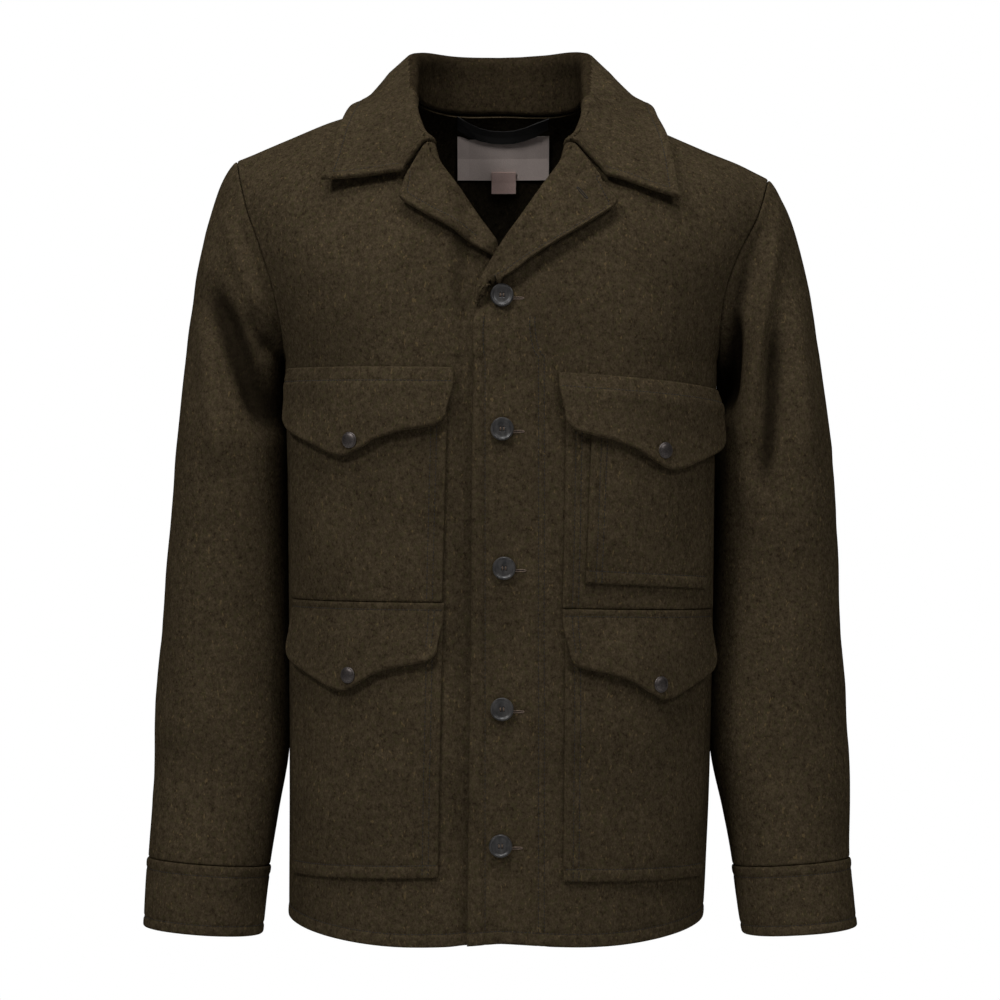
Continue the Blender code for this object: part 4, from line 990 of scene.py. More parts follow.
# The cuffs: wool in two layers, each a ring that carries on from its sleeve and is sewn with one
# row of stitches near each of its edges.
CUFF_STITCH = 0.0090
for side in (RIGHT, LEFT):
    name = "cuff_" + side_name(side)
    angles = 2 * np.pi * np.arange(2 * UPPER_ROWS) / (2 * UPPER_ROWS)
    top = CUFF_SEAM_Z - SEAM
    heights = np.concatenate([top - stops([CUFF_STITCH], SEAM_STOPS),
                              np.arange(top - 0.014, CUFF_END_Z + 0.014, -0.0035),
                              (CUFF_END_Z + stops([CUFF_STITCH]))[::-1]])
    grid = np.array([sleeve_ring(side, z, angles) for z in heights])
    ring_normals = sleeve_normals(grid, side)
    made, outers[name] = cloth(name + "_cloth", grid + (DOUBLE - CLOTH) / 2 * ring_normals, ring_normals,
                               DOUBLE, ("last_row",), ("first_row",),
                               [Sewn("first_row", CUFF_STITCH, 0.0008, 0.0004, -1.0, 1.0),
                                Sewn("last_row", CUFF_STITCH, 0.0009, 0.0003, -1.0, 1.0)], closed=True)
    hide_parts(name)
    lines = []
    for at in (CUFF_STITCH, -CUFF_STITCH):
        row = int(np.argmin(np.abs(heights - (top - at if at > 0 else CUFF_END_Z - at))))
        ring_line = np.concatenate([outers[name][row], outers[name][row][:1]])
        lines.append((ring_line, np.concatenate([ring_normals[row], ring_normals[row][:1]])))
    sew("stitches_" + name, lines)

# Stitch rows of the body: the hem all round, the over front's edge, and two rows on its facing.
def column_of(grid_name, x):
    """The column of a front that lies at this distance from the centre line at mid height."""
    row = grids[grid_name][len(LOWER_ROWS) // 2]
    return int(np.argmin(np.abs(row[:, 0] - x)))


hem_row = int(np.argmin(np.abs(LOWER_ROWS - (HEM_Z + HEM_STITCH))))
body_lines = {name: [(outers[name][hem_row, 2:-2], normals[name][hem_row, 2:-2])]
              for name in ("front_right", "front_left", "back")}
first_row = hem_row + 1
last_row = int(np.argmin(np.abs(grids["front_left"][:, 12, 2] + 0.205)))
for x in (PLACKET_STITCH, *FACING_STITCHES):
    column = column_of("front_left", x)
    body_lines["front_left"].append((outers["front_left"][first_row:last_row, column],
                                     normals["front_left"][first_row:last_row, column]))
for name, lines in body_lines.items():
    sew("stitches_" + name, lines)

# The patch pockets and their flaps: each pocket is one layer of wool laid on the front, with two
# rows of stitches along its inner edge and one along its hem. Each flap is two layers cut to a
# point, sewn along its top and standing off the pocket below. Distances go round the cloth.
Pocket = namedtuple("Pocket", "name side in_top in_bottom out top_in top_out bottom_in bottom_out under")
POCKETS = [
    Pocket("upper_pocket_right", RIGHT, 0.0435, 0.0485, 0.214, -0.2680, -0.2645, -0.4532, -0.4532, 0.0004),
    Pocket("upper_pocket_left", LEFT, 0.0560, 0.0525, 0.222, -0.2720, -0.2830, -0.4583, -0.4623, 0.0004),
    Pocket("compass_pocket", LEFT, 0.0770, 0.0715, 0.196, -0.2920, -0.3000, -0.4370, -0.4440, 0.0034),
    Pocket("lower_pocket_right", RIGHT, 0.0480, 0.0520, 0.212, -0.4685, -0.4685, -0.6850, -0.6930, 0.0004),
    Pocket("lower_pocket_left", LEFT, 0.0545, 0.0530, 0.204, -0.4740, -0.4780, -0.6885, -0.6945, 0.0004),
]
Flap = namedtuple("Flap", "name side inner outer top_in top_out over")
FLAPS = [
    Flap("upper_flap_right", RIGHT, 0.0400, 0.2165, -0.2550, -0.2515, 0.0036),
    Flap("upper_flap_left", LEFT, 0.0490, 0.2270, -0.2590, -0.2700, 0.0066),
    Flap("lower_flap_right", RIGHT, 0.0470, 0.2130, -0.4537, -0.4537, 0.0036),
    Flap("lower_flap_left", LEFT, 0.0525, 0.2180, -0.4588, -0.4628, 0.0036),
]
FlapCut = namedtuple("FlapCut", "across down")
FLAP_CUT = [
    FlapCut(0.00, 0.0410), FlapCut(0.03, 0.0465), FlapCut(0.08, 0.0500), FlapCut(0.24, 0.0545),
    FlapCut(0.36, 0.0610), FlapCut(0.45, 0.0705), FlapCut(0.53, 0.0765), FlapCut(0.61, 0.0745),
    FlapCut(0.70, 0.0680), FlapCut(0.82, 0.0605), FlapCut(0.94, 0.0535), FlapCut(0.97, 0.0500),
    FlapCut(1.00, 0.0440),
]
FLAP_END_ROUND = 0.005        # how far a flap's ends are cut in at its lower corners
FLAP_THICK = 0.0040
SNAP_DOWN = 0.0615
LEVELS = np.linspace(HEM_Z, UNDERARM_Z, 150)
REACH = np.linspace(0.0, 0.262, 110)


def lower_front(side):
    """The front's outer face below the underarm as a lattice of heights and cloth lengths."""
    grid = np.array([points_at(dense_row(-1, side, z, 0.0), REACH) for z in LEVELS])
    if side == RIGHT:
        grid[..., 1] += under_drop(grid[..., 0], grid[..., 2])
    return grid, normals_of(grid) * (1 if side == LEFT else -1)


LATTICE = {side: lower_front(side) for side in (RIGHT, LEFT)}


def lay(side, s, z, lift):
    """Points over a front, at distances s round from the centre line, heights z and a lift off it."""
    row = np.clip((z - LEVELS[0]) / (LEVELS[1] - LEVELS[0]), 0, len(LEVELS) - 1.001)
    column = np.clip(s / REACH[1], 0, len(REACH) - 1.001)
    i, j = row.astype(int), column.astype(int)
    f, g = (row - i)[..., None], (column - j)[..., None]
    found = []
    for source in LATTICE[side]:
        found.append((1 - f) * ((1 - g) * source[i, j] + g * source[i, j + 1])
                     + f * ((1 - g) * source[i + 1, j] + g * source[i + 1, j + 1]))
    return found[0] + lift[..., None] * unit(found[1]), unit(found[1])


POCKET_ROWS = (0.0085, 0.0135)
POCKET_HEM = 0.0105
DIVIDERS = (0.1170, 0.1500)    # two rows that part the small pocket into narrow ones


def pocket_cloth(pocket):
    """A patch of one layer on the front, double stitched along its inner edge."""
    inner_stops = stops(POCKET_ROWS)
    down_total = pocket.top_in - pocket.bottom_in
    d = spread(down_total, np.array([0.0, 0.001, 0.004]), stops([POCKET_HEM]), down_total / 0.0036)
    down = (d / down_total)[:, None]
    inner = pocket.in_top + (pocket.in_bottom - pocket.in_top) * down
    width = pocket.out - inner
    middle = np.linspace(0, 1, int((pocket.out - pocket.in_top) / 0.0036))[1:-1]
    last = np.array(EDGE_STOPS[::-1])
    s = np.concatenate([inner + inner_stops,
                        inner + inner_stops[-1] + middle * (width - inner_stops[-1] - last[0]),
                        pocket.out - last + 0 * down], axis=1)
    across = (s - s[:, :1]) / (s[:, -1:] - s[:, :1])
    top = pocket.top_in + (pocket.top_out - pocket.top_in) * across
    bottom = pocket.bottom_in + (pocket.bottom_out - pocket.bottom_in) * across
    z = top + (bottom - top) * down
    place, up = lay(pocket.side, s, z, np.full_like(z, pocket.under + CLOTH))
    sewn = [Sewn("first_column", POCKET_ROWS[0], 0.0007, 0.0006, -1.0, 1.0),
            Sewn("first_column", POCKET_ROWS[1], 0.0006, 0.0, -1.0, 1.0)]
    meets_flap = pocket.name.startswith("upper")
    if not meets_flap:
        sewn.append(Sewn("last_row", POCKET_HEM, 0.0007, 0.0006, -1.0, 1.0))
    free = ("first_column", "last_column") + (() if meets_flap else ("last_row",))
    press = np.zeros(z.shape)
    if pocket.name == "compass_pocket":
        for at in DIVIDERS:
            press = press - 0.0009 * np.exp(-(((s - at) / STITCH_GROOVE) ** 2))
    made, outer = cloth(pocket.name + "_cloth", place, up, CLOTH, free,
                        ("last_row",) if meets_flap else (), sewn, extra=press)
    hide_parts(pocket.name)
    lines = []
    for at in POCKET_ROWS:
        column = int(np.argmin(np.abs(inner_stops - at)))
        lines.append((outer[1:, column], up[1:, column]))
    if not meets_flap:
        row = int(np.argmin(np.abs((down_total - d) - POCKET_HEM)))
        lines.append((outer[row, 3:-3], up[row, 3:-3]))
    sew("stitches_" + pocket.name, lines)
    return outer, up


pockets = {pocket.name: pocket_cloth(pocket) for pocket in POCKETS}

UPPER_FLAP_STITCH = 0.0118
LOWER_FLAP_STITCH = 0.0062


def flap_cloth(flap):
    """A pointed flap of two layers, sewn along its top and standing off further down. A lower
    flap's top lies flush with the pocket above it; an upper flap's top is a free edge."""
    lower = flap.name.startswith("lower")
    stitch = LOWER_FLAP_STITCH if lower else UPPER_FLAP_STITCH
    side_stops = stops(POCKET_ROWS) if lower else stops([])
    width = flap.outer - flap.inner
    s = spread(width, side_stops, side_stops, width / 0.0028)
    across = s / width
    keys = [c.across for c in FLAP_CUT]
    fine = np.linspace(0, 1, 600)
    shape = np.interp(fine, keys, [c.down for c in FLAP_CUT])
    kernel = np.exp(-np.linspace(-2.2, 2.2, 45) ** 2)
    padded = np.concatenate([2 * shape[0] - shape[1:23][::-1], shape, 2 * shape[-1] - shape[-23:-1][::-1]])
    shape = np.convolve(padded, kernel / kernel.sum(), mode="valid")
    length = np.interp(across, fine, shape)
    top_stops = stops([stitch])
    steps = [spread(one, top_stops, stops([]), 18) for one in length]
    down = np.array(steps).T
    place_s = flap.inner + s + 0 * down
    cut = FLAP_END_ROUND * (2 * across - 1) ** 7 * smoothstep(down / length, 0.2, 1.0)
    top = flap.top_in + (flap.top_out - flap.top_in) * across
    z = top - down
    out = flap.over + FLAP_THICK
    if lower:
        lift = 0.0030 + (out - 0.0030) * smoothstep(down, 0.004, 0.040)
        lift = lift + 0.0022 * smoothstep(down / length, 0.55, 1.0)
        thick = 0.0024 + (FLAP_THICK - 0.0024) * smoothstep(down, 0.006, 0.030)
    else:
        lift = 0.0044 + (out - 0.0044) * smoothstep(down, 0.0, 0.018)
        lift = lift + 0.0026 * smoothstep(down / length, 0.45, 1.0)
        thick = np.full_like(down, FLAP_THICK)
    place, up = lay(flap.side, place_s - cut, z, lift)
    sewn = [Sewn("first_row", stitch, 0.0007, 0.0 if lower else 0.0003, -1.0, 1.0)]
    if lower:
        sewn += [Sewn("first_column", at, 0.0006, 0.0, flap.top_in - 0.040, 1.0) for at in POCKET_ROWS]
    away = edge_distances(place)
    rim = np.minimum(np.minimum(away["last_row"], away["first_column"]), away["last_column"])
    bead = 0.0005 * np.exp(-(((rim - 0.0030) / 0.0018) ** 2)) * smoothstep(down, 0.01, 0.03)
    free = ("first_column", "last_column", "last_row") + (() if lower else ("first_row",))
    made, outer = cloth(flap.name + "_cloth", place, up, thick, free, ("first_row",) if lower else (), sewn,
                        inside=WOOL_OUT, extra=bead)
    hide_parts(flap.name)
    row = int(np.argmin(np.abs(top_stops - stitch)))
    lines = [(outer[row, 3:-3], up[row, 3:-3])]
    if lower:
        for at in POCKET_ROWS:
            column = int(np.argmin(np.abs(side_stops - at)))
            kept = down[:, column] < 0.040
            lines.append((outer[kept, column][row:], up[kept, column][row:]))
    sew("stitches_" + flap.name, lines)
    return outer, up, down, place_s


flaps = {flap.name: flap_cloth(flap) for flap in FLAPS}

# The collar and lapels: wool in two layers. The collar is sewn to the neck, stands, turns over a
# soft roll and falls to its stitched edge; each lapel turns over from the front's edge. The
# table has one row per station, from the centre of the back (0) to the collar's end (1).
Collar = namedtuple("Collar", "neck roll_x roll_y roll_z mid_x mid_z edge_x edge_y edge_z left_z right_x")
COLLAR = [
    Collar(0.00, 0.0000, 0.0830, 0.0410, 0.0000, 0.0150, 0.0000, 0.1160, -0.0340, 0.000, 0.000),
    Collar(0.17, 0.0440, 0.0730, 0.0402, 0.0490, 0.0180, 0.0640, 0.1020, -0.0290, 0.000, 0.000),
    Collar(0.36, 0.0750, 0.0380, 0.0370, 0.0900, 0.0230, 0.1130, 0.0500, -0.0200, 0.000, -0.002),
    Collar(0.51, 0.0820, 0.0050, 0.0270, 0.0985, 0.0120, 0.1310, 0.0020, -0.0190, -0.001, -0.006),
    Collar(0.62, 0.0810, -0.0160, 0.0100, 0.0975, -0.0030, 0.1370, -0.0260, -0.0330, -0.004, -0.008),
    Collar(0.78, 0.0790, -0.0520, -0.0190, 0.0950, -0.0420, 0.1430, -0.0560, -0.0620, -0.010, -0.006),
    Collar(1.00, 0.0665, -0.0850, -0.0600, 0.0800, -0.0930, 0.1540, -0.0980, -0.0960, -0.016, 0.000),
]
LEFT_NOTCH = (0.0874, -0.0962)    # the wearer's left notch, beside the table's, which is the right's
COLLAR_END_Z = -0.0640
Lapel = namedtuple("Lapel", "roll_z edge_x edge_z")
LAPELS = {
    LEFT: [Lapel(-0.2010, -0.0165, -0.1975), Lapel(-0.1880, -0.0095, -0.1810),
           Lapel(-0.1730, 0.0070, -0.1780), Lapel(-0.1560, 0.0260, -0.1640),
           Lapel(-0.1390, 0.0475, -0.1500), Lapel(-0.1230, 0.0690, -0.1370),
           Lapel(-0.1080, 0.0975, -0.1175), Lapel(-0.0930, 0.0925, -0.1060),
           Lapel(-0.0790, 0.0888, -0.0995), Lapel(-0.0646, 0.0868, -0.0969)],
    RIGHT: [Lapel(-0.1580, 0.0020, -0.1620), Lapel(-0.1530, 0.0100, -0.1585),
            Lapel(-0.1450, 0.0210, -0.1530), Lapel(-0.1330, 0.0410, -0.1400),
            Lapel(-0.1200, 0.0670, -0.1250), Lapel(-0.1070, 0.0840, -0.1130),
            Lapel(-0.0930, 0.0825, -0.1035), Lapel(-0.0790, 0.0805, -0.0965),
            Lapel(-0.0646, 0.0794, -0.0937)],
}
COLLAR_STEPS = 97
# Shares of the way from the roll to the edge at which the turned cloth has rows.
COLLAR_FALL = [0.04, 0.08, 0.14, 0.2, 0.26, 0.33, 0.40, 0.48, 0.56, 0.64, 0.73, 0.82, 0.91, 1.0]
LAPEL_FALL = [0.08, 0.15, 0.24, 0.33, 0.42, 0.5, 0.62, 0.75, 0.87, 1.0]
FALL_ROWS = 34                # rows of the finished collar's end that have stitches beside them


def neck_edge(side):
    """The panels' neck edge from the centre of the back round to the end of the collar."""
    points = []
    for x in np.linspace(0.0, NECK_HALF, 30):
        points.append(body_line(1, side, 1 + neck_share_at(x), np.array([side * x]))[0])
    for row in np.linspace(2.0, 1.2, 80):
        point = body_line(-1, side, row, np.array([opening_x(side, row)]))[0]
        if point[2] < COLLAR_END_Z:
            break
        points.append(point)
    return np.array(points)


def curve_through(values, keys, at):
    """A smooth curve through the values at rising keys."""
    Row = namedtuple("Row", "key value")
    columns = [read([Row(k, v) for k, v in zip(keys, values[:, c])], "key", "value", at)
               for c in range(values.shape[1])]
    return np.stack(columns, axis=-1)


def lapel_roll(side, level):
    """Where a lapel starts beside the front's edge at a height, and where it turns over."""
    edge = front_point(side, side * read(OPENING, "z", "half", level), level)
    seam = edge + np.array([-0.0006 * side, 0.0, 0.0])
    return seam, seam + np.array([-0.0004 * side, -0.0024, 0.0])


def body_point(face, side, x, z):
    """The point of the body's outer face at a place in the view from the front."""
    if z <= UNDERARM_Z:
        return body_line(face, side, z, np.array([x]))[0]
    share = (z - UNDERARM_Z) / (ridge_z(x) - UNDERARM_Z)
    return body_line(face, side, 1 + min(share, 1.0), np.array([x]))[0]


def front_point(side, x, z):
    """The point of a front's outer face at a place in the view from the front."""
    drop = under_drop(x, z) if side == RIGHT else 0.0
    return body_point(-1, side, x, z) + np.array([0.0, drop, 0.0])


def tree_of(panels):
    """A search tree of panels' faces, each turned to agree with its panel's normals."""
    points, faces, count = [], [], 0
    for grid, outward in panels:
        rows, columns = grid.shape[:2]
        number = np.arange(rows * columns).reshape(rows, columns) + count
        a, b, c, d = number[:-1, :-1], number[:-1, 1:], number[1:, 1:], number[1:, :-1]
        quads = np.stack([a, b, c, d], -1).reshape(-1, 4)
        middle = np.cross(grid[1, 1] - grid[0, 0], grid[1, 0] - grid[0, 1])
        faces += (quads if middle @ outward[0, 0] > 0 else quads[:, ::-1]).tolist()
        points += grid.reshape(-1, 3).tolist()
        count += rows * columns
    return BVHTree.FromPolygons(points, faces)


def rolled_strip(seam, roll, middle, edge, radius, shares):
    """Underside points of cloth that stands at seam, turns over at roll and falls to edge.

    Each argument holds one point per station. The turn is an arc of the given radius."""
    along = directions(roll[None])[0]
    out = unit(middle - roll - np.sum((middle - roll) * unit(along), -1, keepdims=True) * unit(along))
    up = unit(roll - seam)
    up = unit(up - np.sum(up * out, -1, keepdims=True) * out)
    radius = np.broadcast_to(np.asarray(radius, float), (len(roll),))[:, None]
    rows = [seam, 0.45 * seam + 0.55 * (roll - radius * (out + up))]
    fall = middle - roll
    last = np.arctan2(np.sum(fall * out, -1), -np.sum(fall * up, -1))
    for share in np.linspace(0, 1, 9):
        angle = (np.pi + (last - np.pi) * share)[:, None]
        rows.append(roll - radius * up + radius * (np.cos(angle) * out + np.sin(angle) * up))
    start = rows[-1]
    for share in shares:
        t = share / MIDDLE
        if t < 1:
            rows.append(start + (middle - start) * t)
        else:
            rows.append(middle + (edge - middle) * (share - MIDDLE) / 0.67)
    return np.array(rows)


def push_clear(grid, tree, clearance, first_row=0):
    """Moves points out along the panels' normals until they stand clear of the panels, then
    evens the move out between neighbours."""
    moved = grid.copy()
    for _ in range(3):
        for i in range(first_row, grid.shape[0]):
            for j in range(grid.shape[1]):
                place, normal, _, _ = tree.find_nearest(moved[i, j])
                height = (moved[i, j] - np.array(place)) @ np.array(normal)
                if height < clearance:
                    moved[i, j] += (clearance - height) * np.array(normal)
        shift = moved - grid
        for axis in (0, 1):
            count = shift.shape[axis]
            ahead = np.take(shift, np.clip(np.arange(count) + 1, 0, count - 1), axis)
            behind = np.take(shift, np.clip(np.arange(count) - 1, 0, count - 1), axis)
            shift = 0.5 * shift + 0.25 * (ahead + behind)
        moved[first_row:] = (grid + shift)[first_row:]
    return moved


def collar_grid(tree):
    """The collar, from the wearer's right front end round the back of the neck to the left."""
    edges = {side: neck_edge(side) for side in (RIGHT, LEFT)}
    station = np.linspace(-1, 1, COLLAR_STEPS)
    neck = np.array([c.neck for c in COLLAR])
    seam, roll, middle, edge = [], [], [], []
    for at in station:
        side = LEFT if at >= 0 else RIGHT
        line = edges[side]
        along = lengths(line)
        seam.append(points_at(line, [abs(at) * along[-1]])[0])
        drop = np.array([c.left_z if side == LEFT else 0.0 for c in COLLAR])
        table = np.array([[c.roll_x, c.roll_y, c.roll_z, c.mid_x, c.mid_z, c.edge_x, c.edge_y, c.edge_z]
                          for c in COLLAR])
        table[:, 2] += 0.3 * drop
        table[:, 7] += drop
        if side == LEFT:
            table[-1, 3:5] = LEFT_NOTCH
        else:
            table[:, 5] += [c.right_x for c in COLLAR]
        table[-1, :3] = np.abs(lapel_roll(side, COLLAR_END_Z)[1]) * [1, -1, -1]
        row = curve_through(table, neck, np.array([abs(at)]))[0]
        roll.append([side * row[0], row[1], row[2]])
        middle.append([side * row[3], row[1] + MIDDLE * (row[6] - row[1]), row[4]])
        edge.append([side * row[5], row[6], row[7]])
    seam, roll, middle, edge = (np.array(p) for p in (seam, roll, middle, edge))
    seam = seam + 0.0006 * unit(roll - seam)
    seam[:, 0] -= 0.0013 * np.sign(station) * smoothstep(np.abs(station), 0.45, 0.60)
    far = np.abs(station)
    soft_roll = 0.0014 + 0.0022 * smoothstep(far, 0.05, 0.36) * (1 - smoothstep(far, 0.60, 0.84))
    grid = rolled_strip(seam, roll, middle, edge, soft_roll, COLLAR_FALL)
    return push_clear(grid, tree, 0.0009, first_row=2)


def turned_cloth(name, grid, outward, across, down, sewn, edges, curl):
    """A collar or lapel of two layers from its underside, with its stitch rows. Its edges are
    fuller than its middle and curl a little away from the coat."""
    up = normals_of(grid)
    if np.sum(up[outward[0], outward[1]] * outward[2]) < 0:
        up = -up
    place, up = fine_grid(grid + DOUBLE * up, up, across, down)
    away = edge_distances(place)
    near = np.minimum.reduce([away[edge] for edge in edges])
    rise = curl * (1 - smoothstep(near, 0.0, 0.022))
    thick = DOUBLE + 0.0010 * (1 - smoothstep(near, 0.004, 0.012))
    if "first_column" not in edges:
        sunk = 1 - smoothstep(away["first_column"], 0.0, 0.014)
        rise = rise * (1 - sunk) - 0.0030 * sunk
        thick = thick - 0.0026 * sunk
    made, outer = cloth(name + "_cloth", place, up, thick, edges, (), sewn, inside=WOOL_OUT, wave=0.4,
                        extra=rise)
    # On the collar, the faces of the stand below the crest take the darker stand wool, which is painted
    # shade.
    if name == "collar":
        rows, columns = place.shape[0] - 1, place.shape[1] - 1
        crest = np.argmax(place[..., 2], axis=0)[:-1]
        stand = (np.arange(rows)[:, None] < crest) & (place[:-1, :-1, 1] > -0.045)
        shares = np.zeros(len(made.data.polygons), int)
        shares[:rows * columns] = stand.ravel()
        made.data.materials[1] = WOOL_STAND_PAINTED_SHADE
        made.data.polygons.foreach_set("material_index", shares)
    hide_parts(name)
    return outer, up


panels = {name: (grids[name], normals[name]) for name in ("back", "front_right", "front_left")}
COLLAR_STITCH = 0.0085
edge_band = stops([COLLAR_STITCH])
collar = collar_grid(tree_of(panels.values()))
outer, up = turned_cloth("collar", collar, (2, COLLAR_STEPS // 2, np.array([0.0, -1.0, 0.0])),
                         (edge_band, edge_band, 190), (np.array([0.0]), edge_band, 46),
                         [Sewn(edge, COLLAR_STITCH, 0.0006, 0.0004, -1.0, 1.0)
                          for edge in ("last_row", "first_column", "last_column")],
                         ("first_column", "last_column", "last_row"), 0.0050)
k = int(np.argmin(np.abs(edge_band - COLLAR_STITCH)))
rows, columns = outer.shape[:2]
lines = [(outer[-1 - k, k:columns - k], up[-1 - k, k:columns - k])]
for c in (k, columns - 1 - k):
    lines.append((outer[rows - FALL_ROWS:rows - k, c], up[rows - FALL_ROWS:rows - k, c]))
sew("stitches_collar", lines)

for side in (RIGHT, LEFT):
    name = "lapel_" + side_name(side)
    table = LAPELS[side]
    keys = np.array([row.roll_z for row in table])
    fine_keys = np.linspace(keys[0], keys[-1], 45)
    shape = curve_through(np.array([[row.edge_x, row.edge_z] for row in table]), keys, fine_keys)
    ends = [lapel_roll(side, z) for z in fine_keys]
    seam, roll = (np.array([end[k] for end in ends]) for k in (0, 1))
    edge = np.array([front_point(side, side * x, z) for x, z in shape])
    middle = roll + MIDDLE * (edge - roll)
    grid = rolled_strip(seam, roll, middle, edge, 0.0010, LAPEL_FALL)
    grid = push_clear(grid, tree_of([panels["front_" + side_name(side)]]), 0.0018, first_row=2)
    band = stops([COLLAR_STITCH])
    outer, up = turned_cloth(name, grid, (-1, 30, np.array([0.0, -1.0, 0.0])),
                             (np.array([0.0, 0.001, 0.003]), band, 50), (np.array([0.0]), band, 26),
                             [Sewn("last_row", COLLAR_STITCH, 0.0006, 0.0004, -1.0, 1.0)],
                             ("last_column", "last_row"),
                             0.0040)
    k = int(np.argmin(np.abs(band - COLLAR_STITCH)))
    sew("stitches_" + name, [(outer[-1 - k, 12:-2], up[-1 - k, 12:-2])])
    if side == LEFT:
        lapel_face = tree_of([(outer, up)])

# The buttons: five of dark horn, each with a raised rim round a dished middle, sewn on through
# four holes with tan thread. The over front has a thread-worked buttonhole beside each.
def plain_material(name, low, high, roughness, metallic=0.0, scale=500.0, bump=0.0, stretch=(1.0, 1.0, 1.0)):
    """A material that varies between two tones in a fine pattern."""
    material = bpy.data.materials.new(name)
    material.use_nodes = True
    tree = material.node_tree
    shader = tree.nodes["Principled BSDF"]
    coords = tree.nodes.new("ShaderNodeTexCoord").outputs["Object"]
    grain = scaled_noise(tree, coords, scale, 3.0, 0.6, stretch)
    tone = mixed_colour(tree, spread_value(tree, grain, 0.35, 0.65), low, high)
    tree.links.new(tone, shader.inputs["Base Color"])
    shader.inputs["Roughness"].default_value = roughness
    shader.inputs["Metallic"].default_value = metallic
    if bump:
        relief = new_node(tree, "ShaderNodeBump", Strength=bump, Distance=0.0004)
        tree.links.new(grain, relief.inputs["Height"])
        tree.links.new(relief.outputs["Normal"], shader.inputs["Normal"])
    return material


HORN = plain_material("horn", (0.020, 0.019, 0.019), (0.060, 0.056, 0.053), 0.34,
                      scale=260.0, stretch=(1.0, 1.0, 0.3))
TAN_THREAD = plain_material("tan thread", (0.075, 0.052, 0.036), (0.170, 0.118, 0.085), 0.85,
                            scale=1500.0, bump=0.6)
# Painted shadow: a near-black tone that stands for the shade inside each buttonhole's cut.
SLIT_PAINTED_SHADOW = plain_material("slit", (0.004, 0.003, 0.002), (0.006, 0.005, 0.003), 0.95)
PEWTER = plain_material("dark pewter", (0.085, 0.074, 0.070), (0.14, 0.122, 0.115), 0.46, 1.0,
                        scale=900.0, bump=0.15)


def turned(name, profile, centre, axis, material, press=None, sides=72):
    """A solid turned about an axis from rows of radius and height, pressed in where press says."""
    axis = unit(np.asarray(axis, float))
    across = unit(np.cross([0.0, 0.0, 1.0], axis))
    upward = np.cross(axis, across)
    turn = 2 * np.pi * np.arange(sides) / sides
    radius, height = np.asarray(profile, float).T
    flat_x = radius[:, None] * np.cos(turn)
    flat_z = radius[:, None] * np.sin(turn)
    tall = height[:, None] - (press(flat_x, flat_z) if press else 0.0) * (height[:, None] > 0.0011)
    grid = (np.asarray(centre) + flat_x[..., None] * across + flat_z[..., None] * upward
            + tall[..., None] * axis)
    number = np.arange(grid.shape[0] * sides).reshape(-1, sides)
    after = np.roll(number, -1, axis=1)
    faces = np.stack([number[:-1], after[:-1], after[1:], number[1:]], -1).reshape(-1, 4)
    faces = faces.tolist() + [number[0, ::-1].tolist(), number[-1].tolist()]
    return smooth_object(name, grid.reshape(-1, 3), faces, [material])


def between(rows, steps):
    """Rows of numbers with even steps added between each two."""
    rows = np.asarray(rows, float)
    at = np.arange(len(rows))
    fine = np.linspace(0, len(rows) - 1, (len(rows) - 1) * steps + 1)
    return np.stack([np.interp(fine, at, rows[:, k]) for k in range(rows.shape[1])], axis=-1)


def tube(name, line, radius, material, sides=8, closed=False):
    """A round cord along a line of points, with closed ends."""
    way = unit(np.gradient(line, axis=0)) if not closed else unit(np.roll(line, -1, 0) - np.roll(line, 1, 0))
    aside = unit(np.cross(way, [0.0, 1.0, 0.01]))
    upward = np.cross(aside, way)
    turn = 2 * np.pi * np.arange(sides) / sides
    radius = np.broadcast_to(radius, (len(line),))
    spoke = np.cos(turn)[:, None] * aside[:, None] + np.sin(turn)[:, None] * upward[:, None]
    grid = line[:, None] + radius[:, None, None] * spoke
    number = np.arange(len(line) * sides).reshape(-1, sides)
    if closed:
        number = np.concatenate([number, number[:1]])
    after = np.roll(number, -1, axis=1)
    faces = np.stack([number[:-1], number[1:], after[1:], after[:-1]], -1).reshape(-1, 4).tolist()
    if not closed:
        faces += [number[0].tolist(), number[-1, ::-1].tolist()]
    return smooth_object(name, grid.reshape(-1, 3), faces, [material])


HOLE_PLACE, HOLE_RADIUS = 0.0014, 0.0007


def four_holes(x, z):
    """Depth pressed into a button's face by its four thread holes."""
    away = np.hypot(np.abs(x) - HOLE_PLACE, np.abs(z) - HOLE_PLACE)
    return 0.0019 * (1 - smoothstep(away, HOLE_RADIUS - 0.00015, HOLE_RADIUS + 0.00015))


# Radius and height of the button's face, from its foot over the rim to the middle.
BUTTON_PROFILE = between([(0.0086, 0.0), (0.0095, 0.0006), (0.0098, 0.0014), (0.0098, 0.0026),
                          (0.0096, 0.0033), (0.0091, 0.0038), (0.0084, 0.0039), (0.0078, 0.0036),
                          (0.0070, 0.0029), (0.0060, 0.0026), (0.0044, 0.0025), (0.0034, 0.0025),
                          (0.0002, 0.0025)], 5)
Button = namedtuple("Button", "x z")
BUTTONS = [Button(0.0016, -0.1945), Button(0.0017, -0.3071), Button(0.0034, -0.4243),
           Button(0.0017, -0.5432), Button(0.0003, -0.6578)]
HOLE_LENGTH = 0.0150          # a buttonhole, from this far beside and below its button's middle
HOLE_BESIDE, HOLE_BELOW = 0.0035, 0.0022
LAPEL_HOLE = (0.0700, -0.1055)
over_front = tree_of([(outers["front_left"], normals["front_left"])])


def on_front(x, z, lift, face=over_front):
    """Points on the over front's outer face, seen from the front at x and z, and lifted off it."""
    found = []
    for a, b in zip(np.ravel(x), np.ravel(z)):
        place, normal, _, _ = face.ray_cast((a, -0.6, b), (0.0, 1.0, 0.0))
        normal = np.array(normal) * (-1 if normal[1] > 0 else 1)
        found.append(np.array(place) + lift * normal)
    return np.array(found)


